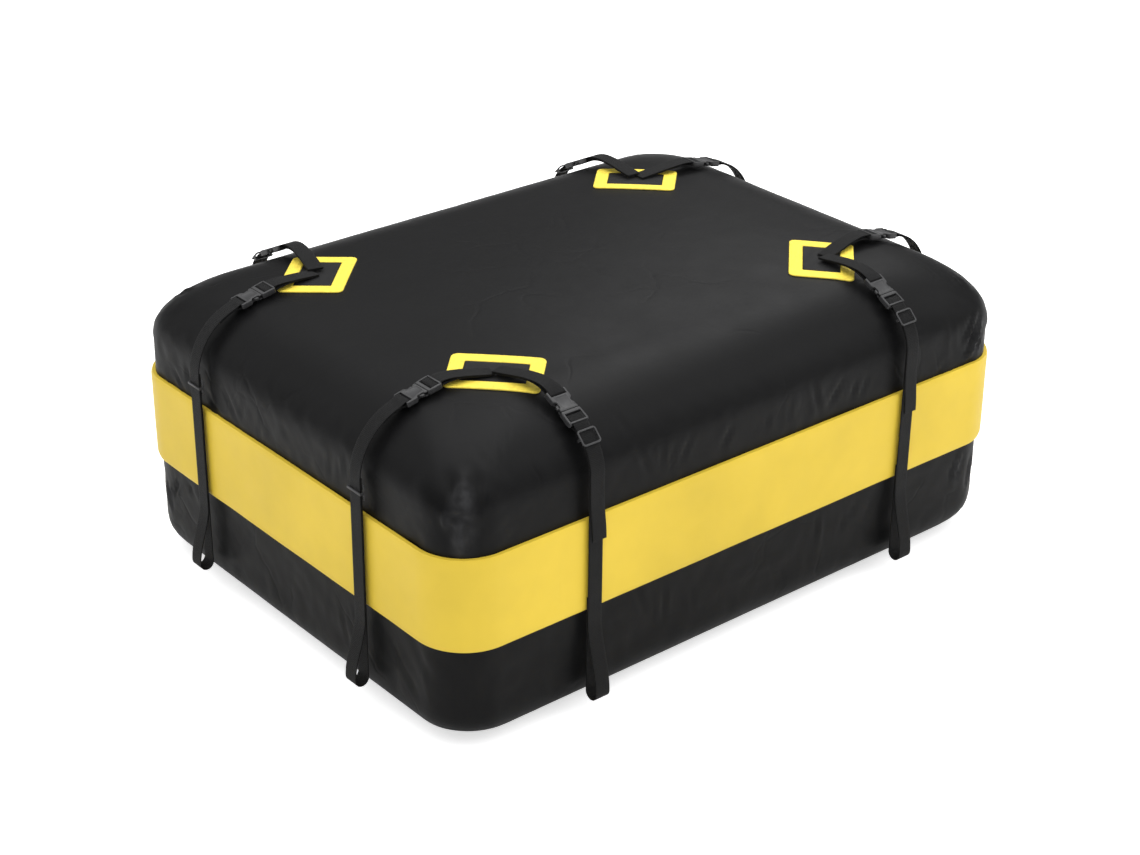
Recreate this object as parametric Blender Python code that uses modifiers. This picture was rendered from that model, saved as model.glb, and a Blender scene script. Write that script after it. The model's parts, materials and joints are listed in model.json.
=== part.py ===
"""A soft rooftop cargo carrier: a bag with a zipped lid and eight buckled tie-down straps.

Metres, +Z up. X runs along the long side, the front is -Y and the left end is -X.
The origin is under the middle of the bag, on the surface that it stands on.
"""

import math

import bmesh
import bpy
from mathutils import Matrix, Vector

# Bag: outer sizes of the fabric
BAG_LENGTH = 1.085
BAG_WIDTH = 0.810
SHOULDER_TOP = 0.464
CROWN_RISE = 0.010
SHOULDER_DROP = 0.094
SHOULDER_REACH = 0.137
CORNER_RADIUS = 0.075
CORNER_GROWTH = 0.26
BASE_RISE = 0.050
BASE_REACH = 0.065
FABRIC = 0.003
FIT_GAP = 0.0003

# Zip line between the tub and the lid
ZIP_HEIGHT = 0.239
ZIP_SLOT = 0.014
TAPE_THICKNESS = 0.0012
COIL_WIDTH = 0.005
COIL_THICKNESS = 0.0026
COIL_FLAT = 0.6
ZIP_SLIDER_LENGTH = 0.013
ZIP_SLIDER_PLATE = 0.0011
ZIP_SLIDER_RIM = 0.0012
PULL_LENGTH = 0.022
PULL_WIDTH = 0.006
PULL_THICKNESS = 0.0014
PULL_PIN_RADIUS = 0.0007
PULL_EYE_WALL = 0.00055
PULL_PIN_STANDOFF = 0.0034
SLIDER_LUG_INSET = 0.001

# Yellow flap over the zip
FLAP_TOP = 0.3103
FLAP_BOTTOM = 0.1666
FLAP_STANDOFF = 0.0075
FLAP_SHEET = 0.002
FLAP_EDGE_ROUND = 0.0015

# Anchor patches on the lid
PATCH_FROM_END = 0.2235
PATCH_FROM_SIDE = 0.187
PATCH_SHIFT_X = -0.012
PATCH_SHIFT_Y = -0.006
PATCH_LENGTH = 0.135
PATCH_DEPTH = 0.100
PATCH_CORNER = 0.010
WINDOW_LENGTH = 0.092
WINDOW_DEPTH = 0.058
PATCH_THICKNESS = 0.002
PAD_THICKNESS = 0.0018
PATCH_LIFT = 0.00075
PATCH_STRETCH = 0.026

# Webbing
WEB_WIDTH = 0.025
WEB_THICKNESS = 0.0015
LAYER_PITCH = 0.002
WEB_SIDE_ROOM = 0.001
SIDE_STRAP_FROM_END = 0.2325
END_STRAP_FROM_SIDE = 0.199
STRAP_STANDOFF = 0.007
TAIL_END_Z = 0.277
TAIL_SHIFT = 0.005
TAIL_DRIFT = 0.070
LOOP_START_Z = 0.150
LOOP_RADIUS = 0.011
SIDE_LOOP_BOTTOM = 0.026
END_LOOP_BOTTOM = 0.043
SIDE_BACK_LAYER_TOP = 0.190
STRAP_CONVERGE = 0.010
END_RETURN_LENGTH = 0.040
END_BACK_LAYER_STOP = 0.008
BAR_CLEARANCE = 0.001

# Shoulder arc of each kind of strap: slope of the buckle line, radius and depth below the shoulder top
SIDE_SLOPE = math.radians(27)
SIDE_ARC_RADIUS = 0.0687
SIDE_ARC_DROP = 0.0822
END_SLOPE = math.radians(12)
END_ARC_RADIUS = 0.0966
END_ARC_DROP = 0.0975

# Stubs: where their roots are sewn, measured outwards and sideways from the patch centre
SIDE_STUB_ROOT = 0.012
END_STUB_ROOT = 0.018
STUB_ROOT_RISE = math.radians(4)
STUB_SEAT = 0.0008
STUB_TURN = 1.35
STUB_SPREAD_START = 0.55
STUB_HORN_ROOM = 0.002

# Side-release buckle: lengths along its axis from the horn tips
BUCKLE_HALF_THICKNESS = 0.0042
BUCKLE_RAIL = 0.003
BUCKLE_BAR_RADIUS = 0.002
BUCKLE_EDGE = 0.0006
SOCKET_BAR_AT = 0.005
SOCKET_SLOT_END = 0.010
SOCKET_CAVITY_START = 0.019
SOCKET_NOTCH_END = 0.031
SOCKET_LENGTH = 0.036
SOCKET_NOTCH_DEPTH = 0.0045
SOCKET_PLATE = 0.0019
HORN_INSET = 0.0004
SOCKET_MOUTH_INSET = 0.0015
RIM_EASE = 0.0008
PLUG_START = 0.0364
PLUG_WINDOW_START = 0.0415
PLUG_BAR_AT = 0.0475
PLUG_WINDOW_END = 0.0565
PLUG_LENGTH_END = 0.060
PRONG_CLEARANCE = 0.0005
PRONG_TIP_AT = 0.0205
PRONG_WIDTH = 0.0032
PRONG_INSET = 0.009
PRONG_ROOT = 0.002
LUG_INSET = 0.001
LUG_START = 0.0045
LUG_END = 0.0082
TONGUE_HALF = 0.002
TONGUE_TIP = 0.004
PLUG_SHOULDER = 0.0025
SIDE_BUCKLE_LEAD = 0.0015
END_BUCKLE_LEAD = 0.002

# Tri-glides
GLIDE_LENGTH = 0.024
GLIDE_END_BAR = 0.0028
GLIDE_RAIL = 0.0025
GLIDE_CORNER = 0.004
GLIDE_PLATE = 0.0022
GLIDE_CENTRE_BAR = 0.0036
SIDE_GLIDE_ANGLE = math.radians(45)
END_GLIDE_Z = 0.350

# Facets: how finely round shapes are divided
CORNER_STEPS = 6
SHOULDER_STEPS = 8
BASE_STEPS = 5
CROWN_STEPS = 3
ARC_STEPS = 8
LOOP_STEPS = 7
HAIRPIN_STEPS = 5
BAR_SIDES = 10
PIN_SIDES = 8
EYE_SIDES = 12
TIP_STEPS = 2
GLIDE_CORNER_STEPS = 3
STUB_STEPS = 7
LOOP_RUN_STEPS = 7
HALVINGS = 40

# Overlap with which joined shapes enter each other, and what counts as the same point or the same plane
WELD = 0.0001
SAME_POINT = 1e-6
SAME_PLANE = math.radians(0.05)

# Worked out from the sizes above
HALF_LENGTH = BAG_LENGTH / 2
HALF_WIDTH = BAG_WIDTH / 2
PATCH_X = HALF_LENGTH - PATCH_FROM_END
PATCH_Y = HALF_WIDTH - PATCH_FROM_SIDE
SIDE_STRAP_X = HALF_LENGTH - SIDE_STRAP_FROM_END
END_STRAP_Y = HALF_WIDTH - END_STRAP_FROM_SIDE
FLAP_HALF_LENGTH = HALF_LENGTH + FLAP_STANDOFF
FLAP_HALF_WIDTH = HALF_WIDTH + FLAP_STANDOFF
LAYER_OFFSET = LAYER_PITCH / 2
STACK_HALF = LAYER_OFFSET + WEB_THICKNESS / 2
BAR_SPREAD = BUCKLE_BAR_RADIUS + FIT_GAP + WEB_THICKNESS / 2
BUCKLE_SLOT_HALF = WEB_WIDTH / 2 + WEB_SIDE_ROOM
BUCKLE_HALF_WIDTH = BUCKLE_SLOT_HALF + BUCKLE_RAIL
PRONG_HALF_THICKNESS = BUCKLE_HALF_THICKNESS - SOCKET_PLATE - PRONG_CLEARANCE
PULL_HINGE_DROP = COIL_WIDTH / 4

CORNERS = {
    "front_left": (-1, -1),
    "front_right": (1, -1),
    "back_left": (-1, 1),
    "back_right": (1, 1),
}

COLOURS = {
    "tarpaulin": ((0.026, 0.026, 0.028), 0.48, 0.0),
    "yellow_fabric": ((0.84, 0.60, 0.075), 0.50, 0.0),
    "yellow_rubber": ((0.96, 0.74, 0.08), 0.42, 0.0),
    "pad_fabric": ((0.020, 0.020, 0.021), 0.60, 0.0),
    "webbing": ((0.015, 0.015, 0.015), 0.75, 0.0),
    "buckle_plastic": ((0.060, 0.060, 0.062), 0.40, 0.0),
    "zip_coil": ((0.018, 0.018, 0.018), 0.60, 0.0),
    "zip_metal": ((0.10, 0.10, 0.11), 0.35, 0.9),
}


def clear_scene():
    for obj in list(bpy.data.objects):
        bpy.data.objects.remove(obj, do_unlink=True)


def new_collection(name, hidden=False):
    collection = bpy.data.collections.new(name)
    bpy.context.scene.collection.children.link(collection)
    collection.hide_render = hidden
    return collection


def material(name):
    if name in bpy.data.materials:
        return bpy.data.materials[name]
    colour, roughness, metallic = COLOURS[name]
    made = bpy.data.materials.new(name)
    made.use_nodes = True
    shader = made.node_tree.nodes["Principled BSDF"]
    shader.inputs["Base Color"].default_value = (*colour, 1.0)
    shader.inputs["Roughness"].default_value = roughness
    shader.inputs["Metallic"].default_value = metallic
    return made


def add_object(name, mesh, colour, matrix=None):
    obj = bpy.data.objects.new(name, mesh)
    obj.matrix_world = matrix or Matrix()
    mesh.materials.clear()
    mesh.materials.append(material(colour))
    PARTS.objects.link(obj)
    return obj


def mesh_from(bm, name, smooth_angle=None):
    mesh = bpy.data.meshes.new(name)
    bm.to_mesh(mesh)
    bm.free()
    if smooth_angle is not None:
        mesh.shade_smooth()
        mesh.set_sharp_from_angle(angle=smooth_angle)
    return mesh


def add_empty(name, matrix):
    empty = bpy.data.objects.new(name, None)
    empty.empty_display_size = 0.02
    empty.matrix_world = matrix
    PARTS.objects.link(empty)
    return empty


def attach(child, parent):
    """Parents a piece without moving it."""
    child.parent = parent
    child.matrix_parent_inverse = parent.matrix_basis.inverted()


def bake_modifiers(obj):
    """The object's mesh with its modifiers applied; the object itself goes."""
    bpy.context.view_layer.update()
    graph = bpy.context.evaluated_depsgraph_get()
    mesh = bpy.data.meshes.new_from_object(obj.evaluated_get(graph))
    mesh.name = obj.name
    bpy.data.objects.remove(obj, do_unlink=True)
    return mesh


def thicken(obj, thickness, offset):
    solidify = obj.modifiers.new("Wall", "SOLIDIFY")
    solidify.thickness = thickness
    solidify.offset = offset
    solidify.use_even_offset = True


def smoothstep(t):
    t = min(max(t, 0.0), 1.0)
    return t * t * (3 - 2 * t)


def hermite(start, start_slope, end, end_slope, t):
    """Value and slope at t of the cubic from start to end."""
    value = (
        (2 * t**3 - 3 * t**2 + 1) * start
        + (t**3 - 2 * t**2 + t) * start_slope
        + (3 * t**2 - 2 * t**3) * end
        + (t**3 - t**2) * end_slope
    )
    slope = (
        (6 * t**2 - 6 * t) * start
        + (3 * t**2 - 4 * t + 1) * start_slope
        + (6 * t - 6 * t**2) * end
        + (3 * t**2 - 2 * t) * end_slope
    )
    return value, slope


def rounded_rectangle(half_length, half_width, radius, steps=CORNER_STEPS):
    """Its corners' points, anticlockwise from the right end, back corner first."""
    points = []
    for side_x, side_y, start in ((1, 1, 0), (-1, 1, 90), (-1, -1, 180), (1, -1, 270)):
        centre_x = side_x * (half_length - radius)
        centre_y = side_y * (half_width - radius)
        for step in range(steps + 1):
            angle = math.radians(start + 90 * step / steps)
            points.append((centre_x + radius * math.cos(angle), centre_y + radius * math.sin(angle)))
    return points


def skin(bm, rows, close_rows=True, close_rings=False):
    """Quads between rows of points. Rows that run downwards, anticlockwise each, face outwards."""
    verts = [[bm.verts.new(point) for point in row] for row in rows]
    pairs = list(zip(verts, verts[1:]))
    if close_rings:
        pairs.append((verts[-1], verts[0]))
    for upper, lower in pairs:
        count = len(upper)
        for k in range(count if close_rows else count - 1):
            after = (k + 1) % count
            bm.faces.new((upper[k], lower[k], lower[after], upper[after]))
    return verts


# Bag shells


def wall_ring(outwards, height, inset=0.0):
    """A ring of the bag's wall, moved outwards from the fabric's outer face."""
    radius = CORNER_RADIUS + CORNER_GROWTH * inset + outwards
    ring = rounded_rectangle(HALF_LENGTH - inset + outwards, HALF_WIDTH - inset + outwards, radius)
    return [(x, y, height) for x, y in ring]


def lid_height(inset):
    """Height of the lid's outer face where it lies inset from the wall."""
    if inset < SHOULDER_REACH:
        run = 1 - inset / SHOULDER_REACH
        return SHOULDER_TOP - SHOULDER_DROP + SHOULDER_DROP * math.sqrt(max(0.0, 1 - run * run))
    left = (HALF_WIDTH - inset) / (HALF_WIDTH - SHOULDER_REACH)
    return SHOULDER_TOP + CROWN_RISE * (1 - left * left)


def lid_inset(x, y):
    """How far inside the wall's outline the point lies, by halving."""
    low, high = 0.0, HALF_WIDTH - CORNER_RADIUS
    for _ in range(HALVINGS):
        inset = (low + high) / 2
        radius = min(CORNER_RADIUS + CORNER_GROWTH * inset, HALF_WIDTH - inset)
        over_x = abs(x) - (HALF_LENGTH - inset - radius)
        over_y = abs(y) - (HALF_WIDTH - inset - radius)
        outside = math.hypot(max(over_x, 0), max(over_y, 0)) + min(max(over_x, over_y), 0) - radius
        if outside < 0:
            low = inset
        else:
            high = inset
    return low


def make_lid():
    turns = [math.pi / 2 * k / SHOULDER_STEPS for k in range(SHOULDER_STEPS + 1)]
    insets = [SHOULDER_REACH * (1 - math.cos(turn)) for turn in turns]
    crown_reach = HALF_WIDTH - SHOULDER_REACH - CORNER_RADIUS - CORNER_GROWTH * SHOULDER_REACH
    insets += [SHOULDER_REACH + crown_reach * k / CROWN_STEPS for k in range(1, CROWN_STEPS + 1)]
    rows = [wall_ring(0, lid_height(inset), inset) for inset in reversed(insets)]
    rows.append(wall_ring(0, ZIP_HEIGHT + ZIP_SLOT / 2))
    bm = bmesh.new()
    verts = skin(bm, rows)
    bm.faces.new(verts[0])
    lid = add_object("bag_lid", mesh_from(bm, "bag_lid", math.radians(35)), "tarpaulin")
    thicken(lid, FABRIC, -1)


def make_tub():
    rows = [wall_ring(0, ZIP_HEIGHT - ZIP_SLOT / 2)]
    for step in range(BASE_STEPS + 1):
        angle = math.pi / 2 * step / BASE_STEPS
        rows.append(wall_ring(0, BASE_RISE * (1 - math.sin(angle)), BASE_REACH * (1 - math.cos(angle))))
    bm = bmesh.new()
    verts = skin(bm, rows)
    bm.faces.new(reversed(verts[-1]))
    tub = add_object("bag_tub", mesh_from(bm, "bag_tub", math.radians(35)), "tarpaulin")
    thicken(tub, FABRIC, -1)


def make_flap():
    """The yellow band: a sheet that stands off the wall, its hems turned in to the bag."""
    outer = FLAP_STANDOFF
    inner = FLAP_STANDOFF - FLAP_SHEET
    edge = FLAP_EDGE_ROUND
    profile = (
        (FIT_GAP, FLAP_TOP),
        (outer - edge, FLAP_TOP),
        (outer, FLAP_TOP - edge),
        (outer, FLAP_BOTTOM + edge),
        (outer - edge, FLAP_BOTTOM),
        (FIT_GAP, FLAP_BOTTOM),
        (FIT_GAP, FLAP_BOTTOM + FLAP_SHEET),
        (inner, FLAP_BOTTOM + FLAP_SHEET),
        (inner, FLAP_TOP - FLAP_SHEET),
        (FIT_GAP, FLAP_TOP - FLAP_SHEET),
    )
    bm = bmesh.new()
    skin(bm, [wall_ring(outwards, height) for outwards, height in profile], close_rings=True)
    add_object("zip_flap", mesh_from(bm, "zip_flap", math.radians(35)), "yellow_fabric")


# Zip


def zip_profile():
    """Section of tape and coil: outwards from the fabric's outer face, and up from the zip line."""
    middle = -FABRIC / 2
    tape = TAPE_THICKNESS / 2
    coil = COIL_THICKNESS / 2
    coil_half = COIL_WIDTH / 2
    tape_half = ZIP_SLOT / 2 - FIT_GAP
    front = (
        (middle + tape, tape_half),
        (middle + tape, coil_half),
        (middle + coil, coil_half * COIL_FLAT),
    )
    top = [(middle - tape, tape_half), *front]
    section = top + [(outwards, -height) for outwards, height in reversed(top)]
    back = [(middle - tape, -coil_half), (middle - coil, -coil_half * COIL_FLAT)]
    return section + back + [(outwards, -height) for outwards, height in reversed(back)]


def make_zip_chain():
    """Tape and coil on three sides: it starts and ends at the back wall's corners."""
    first = CORNER_STEPS + 1
    rows = []
    for outwards, height in zip_profile():
        ring = wall_ring(outwards, ZIP_HEIGHT + height)
        rows.append(ring[first:] + ring[:first])
    bm = bmesh.new()
    verts = skin(bm, rows, close_rows=False, close_rings=True)
    bm.faces.new([row[0] for row in verts])
    bm.faces.new([row[-1] for row in reversed(verts)])
    bmesh.ops.recalc_face_normals(bm, faces=bm.faces)
    add_object("zip_chain", mesh_from(bm, "zip_chain"), "zip_coil")


def make_hinge_strip():
    """The strip of fabric at the back that the lid turns on."""
    straight = HALF_LENGTH - CORNER_RADIUS
    bpy.ops.mesh.primitive_cube_add(size=1, location=(0, HALF_WIDTH - FABRIC / 2, ZIP_HEIGHT))
    strip = bpy.context.object
    size = (2 * (straight - FIT_GAP), TAPE_THICKNESS, ZIP_SLOT - 2 * FIT_GAP)
    strip.data.transform(Matrix.Diagonal((*size, 1)))
    adopt(strip, "lid_hinge_strip", "tarpaulin")


def adopt(obj, name, colour):
    """Names an object that an operator made and moves it to the part's collection."""
    obj.name = name
    obj.data.name = name
    for collection in list(obj.users_collection):
        collection.objects.unlink(obj)
    PARTS.objects.link(obj)
    obj.data.materials.clear()
    obj.data.materials.append(material(colour))


def box(name, low, high, collection):
    """A box from its two corners, for building pieces and cutters."""
    bpy.ops.mesh.primitive_cube_add(size=1)
    made = bpy.context.object
    made.name = name
    size = [b - a for a, b in zip(low, high)]
    middle = Vector([(a + b) / 2 for a, b in zip(low, high)])
    made.data.transform(Matrix.Translation(middle) @ Matrix.Diagonal((*size, 1)))
    return helper(made, collection)


def rod(name, radius, start, end, collection, sides=BAR_SIDES):
    """A round bar between two points."""
    start, end = Vector(start), Vector(end)
    bpy.ops.mesh.primitive_cylinder_add(vertices=sides, radius=radius, depth=(end - start).length)
    made = bpy.context.object
    made.name = name
    turn = (end - start).to_track_quat("Z", "Y").to_matrix().to_4x4()
    made.data.transform(Matrix.Translation((start + end) / 2) @ turn)
    return helper(made, collection)


def prism(name, outline, thickness, collection, edge=0.0):
    """A flat outline given half its thickness each way along Z, its rim edges eased."""
    curve = bpy.data.curves.new(name, "CURVE")
    curve.dimensions = "2D"
    curve.fill_mode = "BOTH"
    curve.extrude = thickness / 2
    spline = curve.splines.new("POLY")
    spline.points.add(len(outline) - 1)
    for point, (x, y) in zip(spline.points, outline):
        point.co = (x, y, 0, 1)
    spline.use_cyclic_u = True
    made = bpy.data.objects.new(name, curve)
    HELPERS.objects.link(made)
    mesh = bake_modifiers(made)
    bm = bmesh.new()
    bm.from_mesh(mesh)
    bmesh.ops.remove_doubles(bm, verts=bm.verts, dist=SAME_POINT)
    bmesh.ops.dissolve_limit(bm, angle_limit=SAME_PLANE, verts=bm.verts, edges=bm.edges)
    if edge:
        rims = [e for e in bm.edges if abs(e.verts[0].co.z - e.verts[1].co.z) < SAME_POINT]
        bmesh.ops.bevel(bm, geom=rims, offset=edge, segments=1, affect="EDGES")
    bm.to_mesh(mesh)
    bm.free()
    obj = bpy.data.objects.new(name, mesh)
    bpy.context.scene.collection.objects.link(obj)
    return helper(obj, collection)


def helper(obj, collection):
    """A shape that is only cut or joined: kept out of the render."""
    for owner in list(obj.users_collection):
        owner.objects.unlink(obj)
    collection.objects.link(obj)
    obj.hide_render = True
    obj.display_type = "WIRE"
    return obj


def combine(base, steps):
    """The base with each (operation, shape) applied in turn, as a mesh."""
    for operation, shape in steps:
        boolean = base.modifiers.new(operation, "BOOLEAN")
        boolean.operation = operation
        boolean.solver = "EXACT"
        boolean.object = shape
    mesh = bake_modifiers(base)
    bm = bmesh.new()
    bm.from_mesh(mesh)
    bmesh.ops.remove_doubles(bm, verts=bm.verts, dist=SAME_POINT)
    bmesh.ops.dissolve_limit(bm, angle_limit=math.radians(0.5), verts=bm.verts, edges=bm.edges)
    bm.to_mesh(mesh)
    bm.free()
    mesh.shade_smooth()
    mesh.set_sharp_from_angle(angle=math.radians(30))
    return mesh


def zip_slider_mesh():
    """A saddle over the coil: front plate, two rims and the pin that the pull hangs on.

    Local X runs along the zip, Y across it and Z outwards from the fabric's outer face.
    """
    half = ZIP_SLIDER_LENGTH / 2
    coil_face = -FABRIC / 2 + COIL_THICKNESS / 2
    tape_face = -FABRIC / 2 + TAPE_THICKNESS / 2
    rim_inner = COIL_WIDTH / 2 + FIT_GAP
    rim_outer = rim_inner + ZIP_SLIDER_RIM
    plate_low = coil_face + FIT_GAP
    plate_high = plate_low + ZIP_SLIDER_PLATE
    post = ZIP_SLIDER_RIM
    pin_y = -PULL_HINGE_DROP
    pin_z = PULL_PIN_STANDOFF
    lug_reach = half - SLIDER_LUG_INSET
    lug_low = (lug_reach - post, pin_y - 2 * PULL_PIN_RADIUS, plate_low + WELD)
    lug_high = (lug_reach, pin_y + 2 * PULL_PIN_RADIUS, pin_z + SLIDER_LUG_INSET)
    plate = box("slider_plate", (-half, -rim_outer, plate_low), (half, rim_outer, plate_high), HELPERS)
    steps = []
    for side in (-1, 1):
        y = sorted((side * rim_inner, side * rim_outer))
        rim = box("slider_rim", (-half, y[0], tape_face + FIT_GAP), (half, y[1], plate_high - WELD), HELPERS)
        x = sorted((side * lug_low[0], side * lug_high[0]))
        lug = box("slider_lug", (x[0], *lug_low[1:]), (x[1], *lug_high[1:]), HELPERS)
        steps += [("UNION", rim), ("UNION", lug)]
    pin_end = (lug_reach - post / 2, pin_y, pin_z)
    pin = rod("slider_pin", PULL_PIN_RADIUS, (-pin_end[0], pin_y, pin_z), pin_end, HELPERS, PIN_SIDES)
    steps.append(("UNION", pin))
    return combine(plate, steps)


def zip_pull_mesh():
    """Eye and tab of the pull, hanging along -Y from an origin on its hinge pin."""
    hole = PULL_PIN_RADIUS + FIT_GAP
    eye = hole + PULL_EYE_WALL
    half = PULL_WIDTH / 2
    past = half + SLIDER_LUG_INSET
    barrel = rod("pull_eye", eye, (-half, 0, 0), (half, 0, 0), HELPERS, EYE_SIDES)
    thin = PULL_THICKNESS / 2
    tab = box("pull_tab", (-half, -PULL_LENGTH, -thin), (half, -hole, thin), HELPERS)
    bore = rod("pull_bore", hole, (-past, 0, 0), (past, 0, 0), HELPERS, EYE_SIDES)
    return combine(barrel, [("UNION", tab), ("DIFFERENCE", bore)])


def make_zip_sliders():
    slider_mesh = zip_slider_mesh()
    pull_mesh = zip_pull_mesh()
    on_front = Matrix.Translation((0, -HALF_WIDTH, ZIP_HEIGHT)) @ Matrix.Rotation(math.pi / 2, 4, "X")
    apart = ZIP_SLIDER_LENGTH / 2 + FIT_GAP
    for side, name in ((-1, "left"), (1, "right")):
        place = Matrix.Translation((side * apart, 0, 0)) @ on_front
        slider = add_object(f"zip_slider_{name}", slider_mesh.copy(), "zip_metal", place)
        hinge = place @ Matrix.Translation((0, -PULL_HINGE_DROP, PULL_PIN_STANDOFF))
        pull = add_object(f"zip_pull_{name}", pull_mesh.copy(), "zip_metal", hinge)
        attach(pull, slider)


# Anchor patches


def patch_centre(corner):
    side_x, side_y = CORNERS[corner]
    return side_x * PATCH_X + PATCH_SHIFT_X, side_y * PATCH_Y + PATCH_SHIFT_Y


def on_lid(corner, along, out, lift):
    """A point of a patch: along its long side, out towards the bag's corner, lifted off the lid."""
    side_x, side_y = CORNERS[corner]
    centre_x, centre_y = patch_centre(corner)
    slant = math.sqrt(0.5)
    x = centre_x + slant * (out * side_x - along * side_x)
    y = centre_y + slant * (out * side_y + along * side_y)
    return x, y, lid_height(lid_inset(x, y)) + lift


def patch_outline(length, depth, radius):
    """A rounded rectangle's points, with its long stretches divided so that it can follow the lid."""
    corners = rounded_rectangle(length / 2, depth / 2, radius, TIP_STEPS)
    points = []
    for index, (x, y) in enumerate(corners):
        next_x, next_y = corners[(index + 1) % len(corners)]
        reach = math.hypot(next_x - x, next_y - y)
        parts = max(1, round(reach / PATCH_STRETCH))
        points += [(x + (next_x - x) * k / parts, y + (next_y - y) * k / parts) for k in range(parts)]
    return points


def make_patch(corner):
    """The yellow frame: rings between its outline and its window, laid on the lid."""
    outer = patch_outline(PATCH_LENGTH, PATCH_DEPTH, PATCH_CORNER)
    rows = []
    for share in (0.0, 0.5, 1.0):
        row = []
        for x, y in outer:
            inner_x = x * WINDOW_LENGTH / PATCH_LENGTH
            inner_y = y * WINDOW_DEPTH / PATCH_DEPTH
            row.append(on_lid(corner, x + (inner_x - x) * share, y + (inner_y - y) * share, PATCH_LIFT))
        rows.append(row)
    bm = bmesh.new()
    skin(bm, rows)
    face_up(bm)
    patch = add_object(f"anchor_patch_{corner}", mesh_from(bm, f"anchor_patch_{corner}"), "yellow_rubber")
    thicken(patch, PATCH_THICKNESS, 1)


def make_pad(corner):
    """The black centre inside the frame's window."""
    half_length = WINDOW_LENGTH / 2 - FIT_GAP
    half_depth = WINDOW_DEPTH / 2 - FIT_GAP
    outline = patch_outline(PATCH_LENGTH, PATCH_DEPTH, PATCH_CORNER)
    rows = []
    for share in (1.0, 0.5):
        scale_x = share * 2 * half_length / PATCH_LENGTH
        scale_y = share * 2 * half_depth / PATCH_DEPTH
        rows.append([on_lid(corner, x * scale_x, y * scale_y, PATCH_LIFT) for x, y in outline])
    bm = bmesh.new()
    verts = skin(bm, rows)
    middle = bm.verts.new(on_lid(corner, 0, 0, PATCH_LIFT))
    inner = verts[-1]
    for k, vert in enumerate(inner):
        bm.faces.new((vert, middle, inner[(k + 1) % len(inner)]))
    face_up(bm)
    pad = add_object(f"anchor_pad_{corner}", mesh_from(bm, f"anchor_pad_{corner}"), "pad_fabric")
    thicken(pad, PAD_THICKNESS, 1)


def face_up(bm):
    bm.normal_update()
    down = [face for face in bm.faces if face.normal.z < 0]
    bmesh.ops.reverse_faces(bm, faces=down)


# Straps


class StrapLine:
    """The line that one strap follows over the shoulder of the bag.

    u is measured outwards from the bag's middle, q along the line from where the shoulder arc starts.
    """

    def __init__(self, kind, corner):
        side_x, side_y = CORNERS[corner]
        self.kind = kind
        self.corner = corner
        if kind == "side":
            self.out = Vector((0, side_y, 0))
            self.across = Vector((1, 0, 0))
            self.plane = side_x * SIDE_STRAP_X
            self.slope = SIDE_SLOPE
            self.radius = SIDE_ARC_RADIUS
            self.straight_u = FLAP_HALF_WIDTH + STRAP_STANDOFF
            self.arc_z = SHOULDER_TOP - SIDE_ARC_DROP
        else:
            self.out = Vector((side_x, 0, 0))
            self.across = Vector((0, 1, 0))
            self.plane = side_y * END_STRAP_Y
            self.slope = END_SLOPE
            self.radius = END_ARC_RADIUS
            self.straight_u = FLAP_HALF_LENGTH + STRAP_STANDOFF
            self.arc_z = SHOULDER_TOP - END_ARC_DROP
        self.arc_u = self.straight_u - self.radius
        self.arc_length = self.radius * (math.pi / 2 - self.slope)

    def at(self, q):
        """u, z and the angle by which the line falls."""
        if q <= 0:
            u = self.arc_u + self.radius * math.sin(self.slope) + q * math.cos(self.slope)
            z = self.arc_z + self.radius * math.cos(self.slope) - q * math.sin(self.slope)
            return u, z, self.slope
        if q <= self.arc_length:
            fall = self.slope + q / self.radius
            return self.arc_u + self.radius * math.sin(fall), self.arc_z + self.radius * math.cos(fall), fall
        return self.straight_u, self.arc_z - (q - self.arc_length), math.pi / 2

    def q_at_height(self, z):
        return self.arc_length + self.arc_z - z

    def point(self, u, sideways, z):
        return self.out * u + self.across * (self.plane + sideways) + Vector((0, 0, z))

    def station(self, u, z, fall, offset, sideways=0.0, yaw=0.0):
        """One station of a ribbon: its centre and the direction of its width."""
        centre = self.point(u + offset * math.sin(fall), sideways, z + offset * math.cos(fall))
        width = self.across * math.cos(yaw) - self.out * math.sin(yaw)
        return centre, width

    def on_line(self, q, offset, sideways=0.0):
        u, z, fall = self.at(q)
        return self.station(u, z, fall, offset, sideways)

    def hairpin(self, q, towards):
        """Stations round a bar at q, from above it to below it. towards is 1 outwards, -1 inwards."""
        u, z, fall = self.at(q)
        found = []
        for step in range(HAIRPIN_STEPS + 1):
            angle = math.pi * step / HAIRPIN_STEPS
            along = towards * BAR_SPREAD * math.sin(angle)
            centre_u = u + along * math.cos(fall)
            centre_z = z - along * math.sin(fall)
            found.append(self.station(centre_u, centre_z, fall, BAR_SPREAD * math.cos(angle)))
        return found

    def buckle_matrix(self, q, flipped):
        """Local X along the buckle from horn tips to ladder lock, Z out of the bag."""
        u, z, fall = self.at(q)
        along = self.out * math.cos(fall) - Vector((0, 0, math.sin(fall)))
        up = self.out * math.sin(fall) + Vector((0, 0, math.cos(fall)))
        if flipped:
            along = -along
        return frame_matrix(self.point(u, 0, z), along, up)


def frame_matrix(origin, along, up):
    across = up.cross(along)
    matrix = Matrix((along, across, up)).transposed().to_4x4()
    matrix.translation = origin
    return matrix


def ribbon(name, stations):
    """Webbing through its stations: an open strip that gets its thickness both ways."""
    bm = bmesh.new()
    rows = []
    for centre, width in stations:
        rows.append([bm.verts.new(centre + width * side * WEB_WIDTH / 2) for side in (-1, 1)])
    for before, after in zip(rows, rows[1:]):
        bm.faces.new((before[0], before[1], after[1], after[0]))
    obj = add_object(name, mesh_from(bm, name, math.radians(40)), "webbing")
    thicken(obj, WEB_THICKNESS, 0)
    return obj


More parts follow.
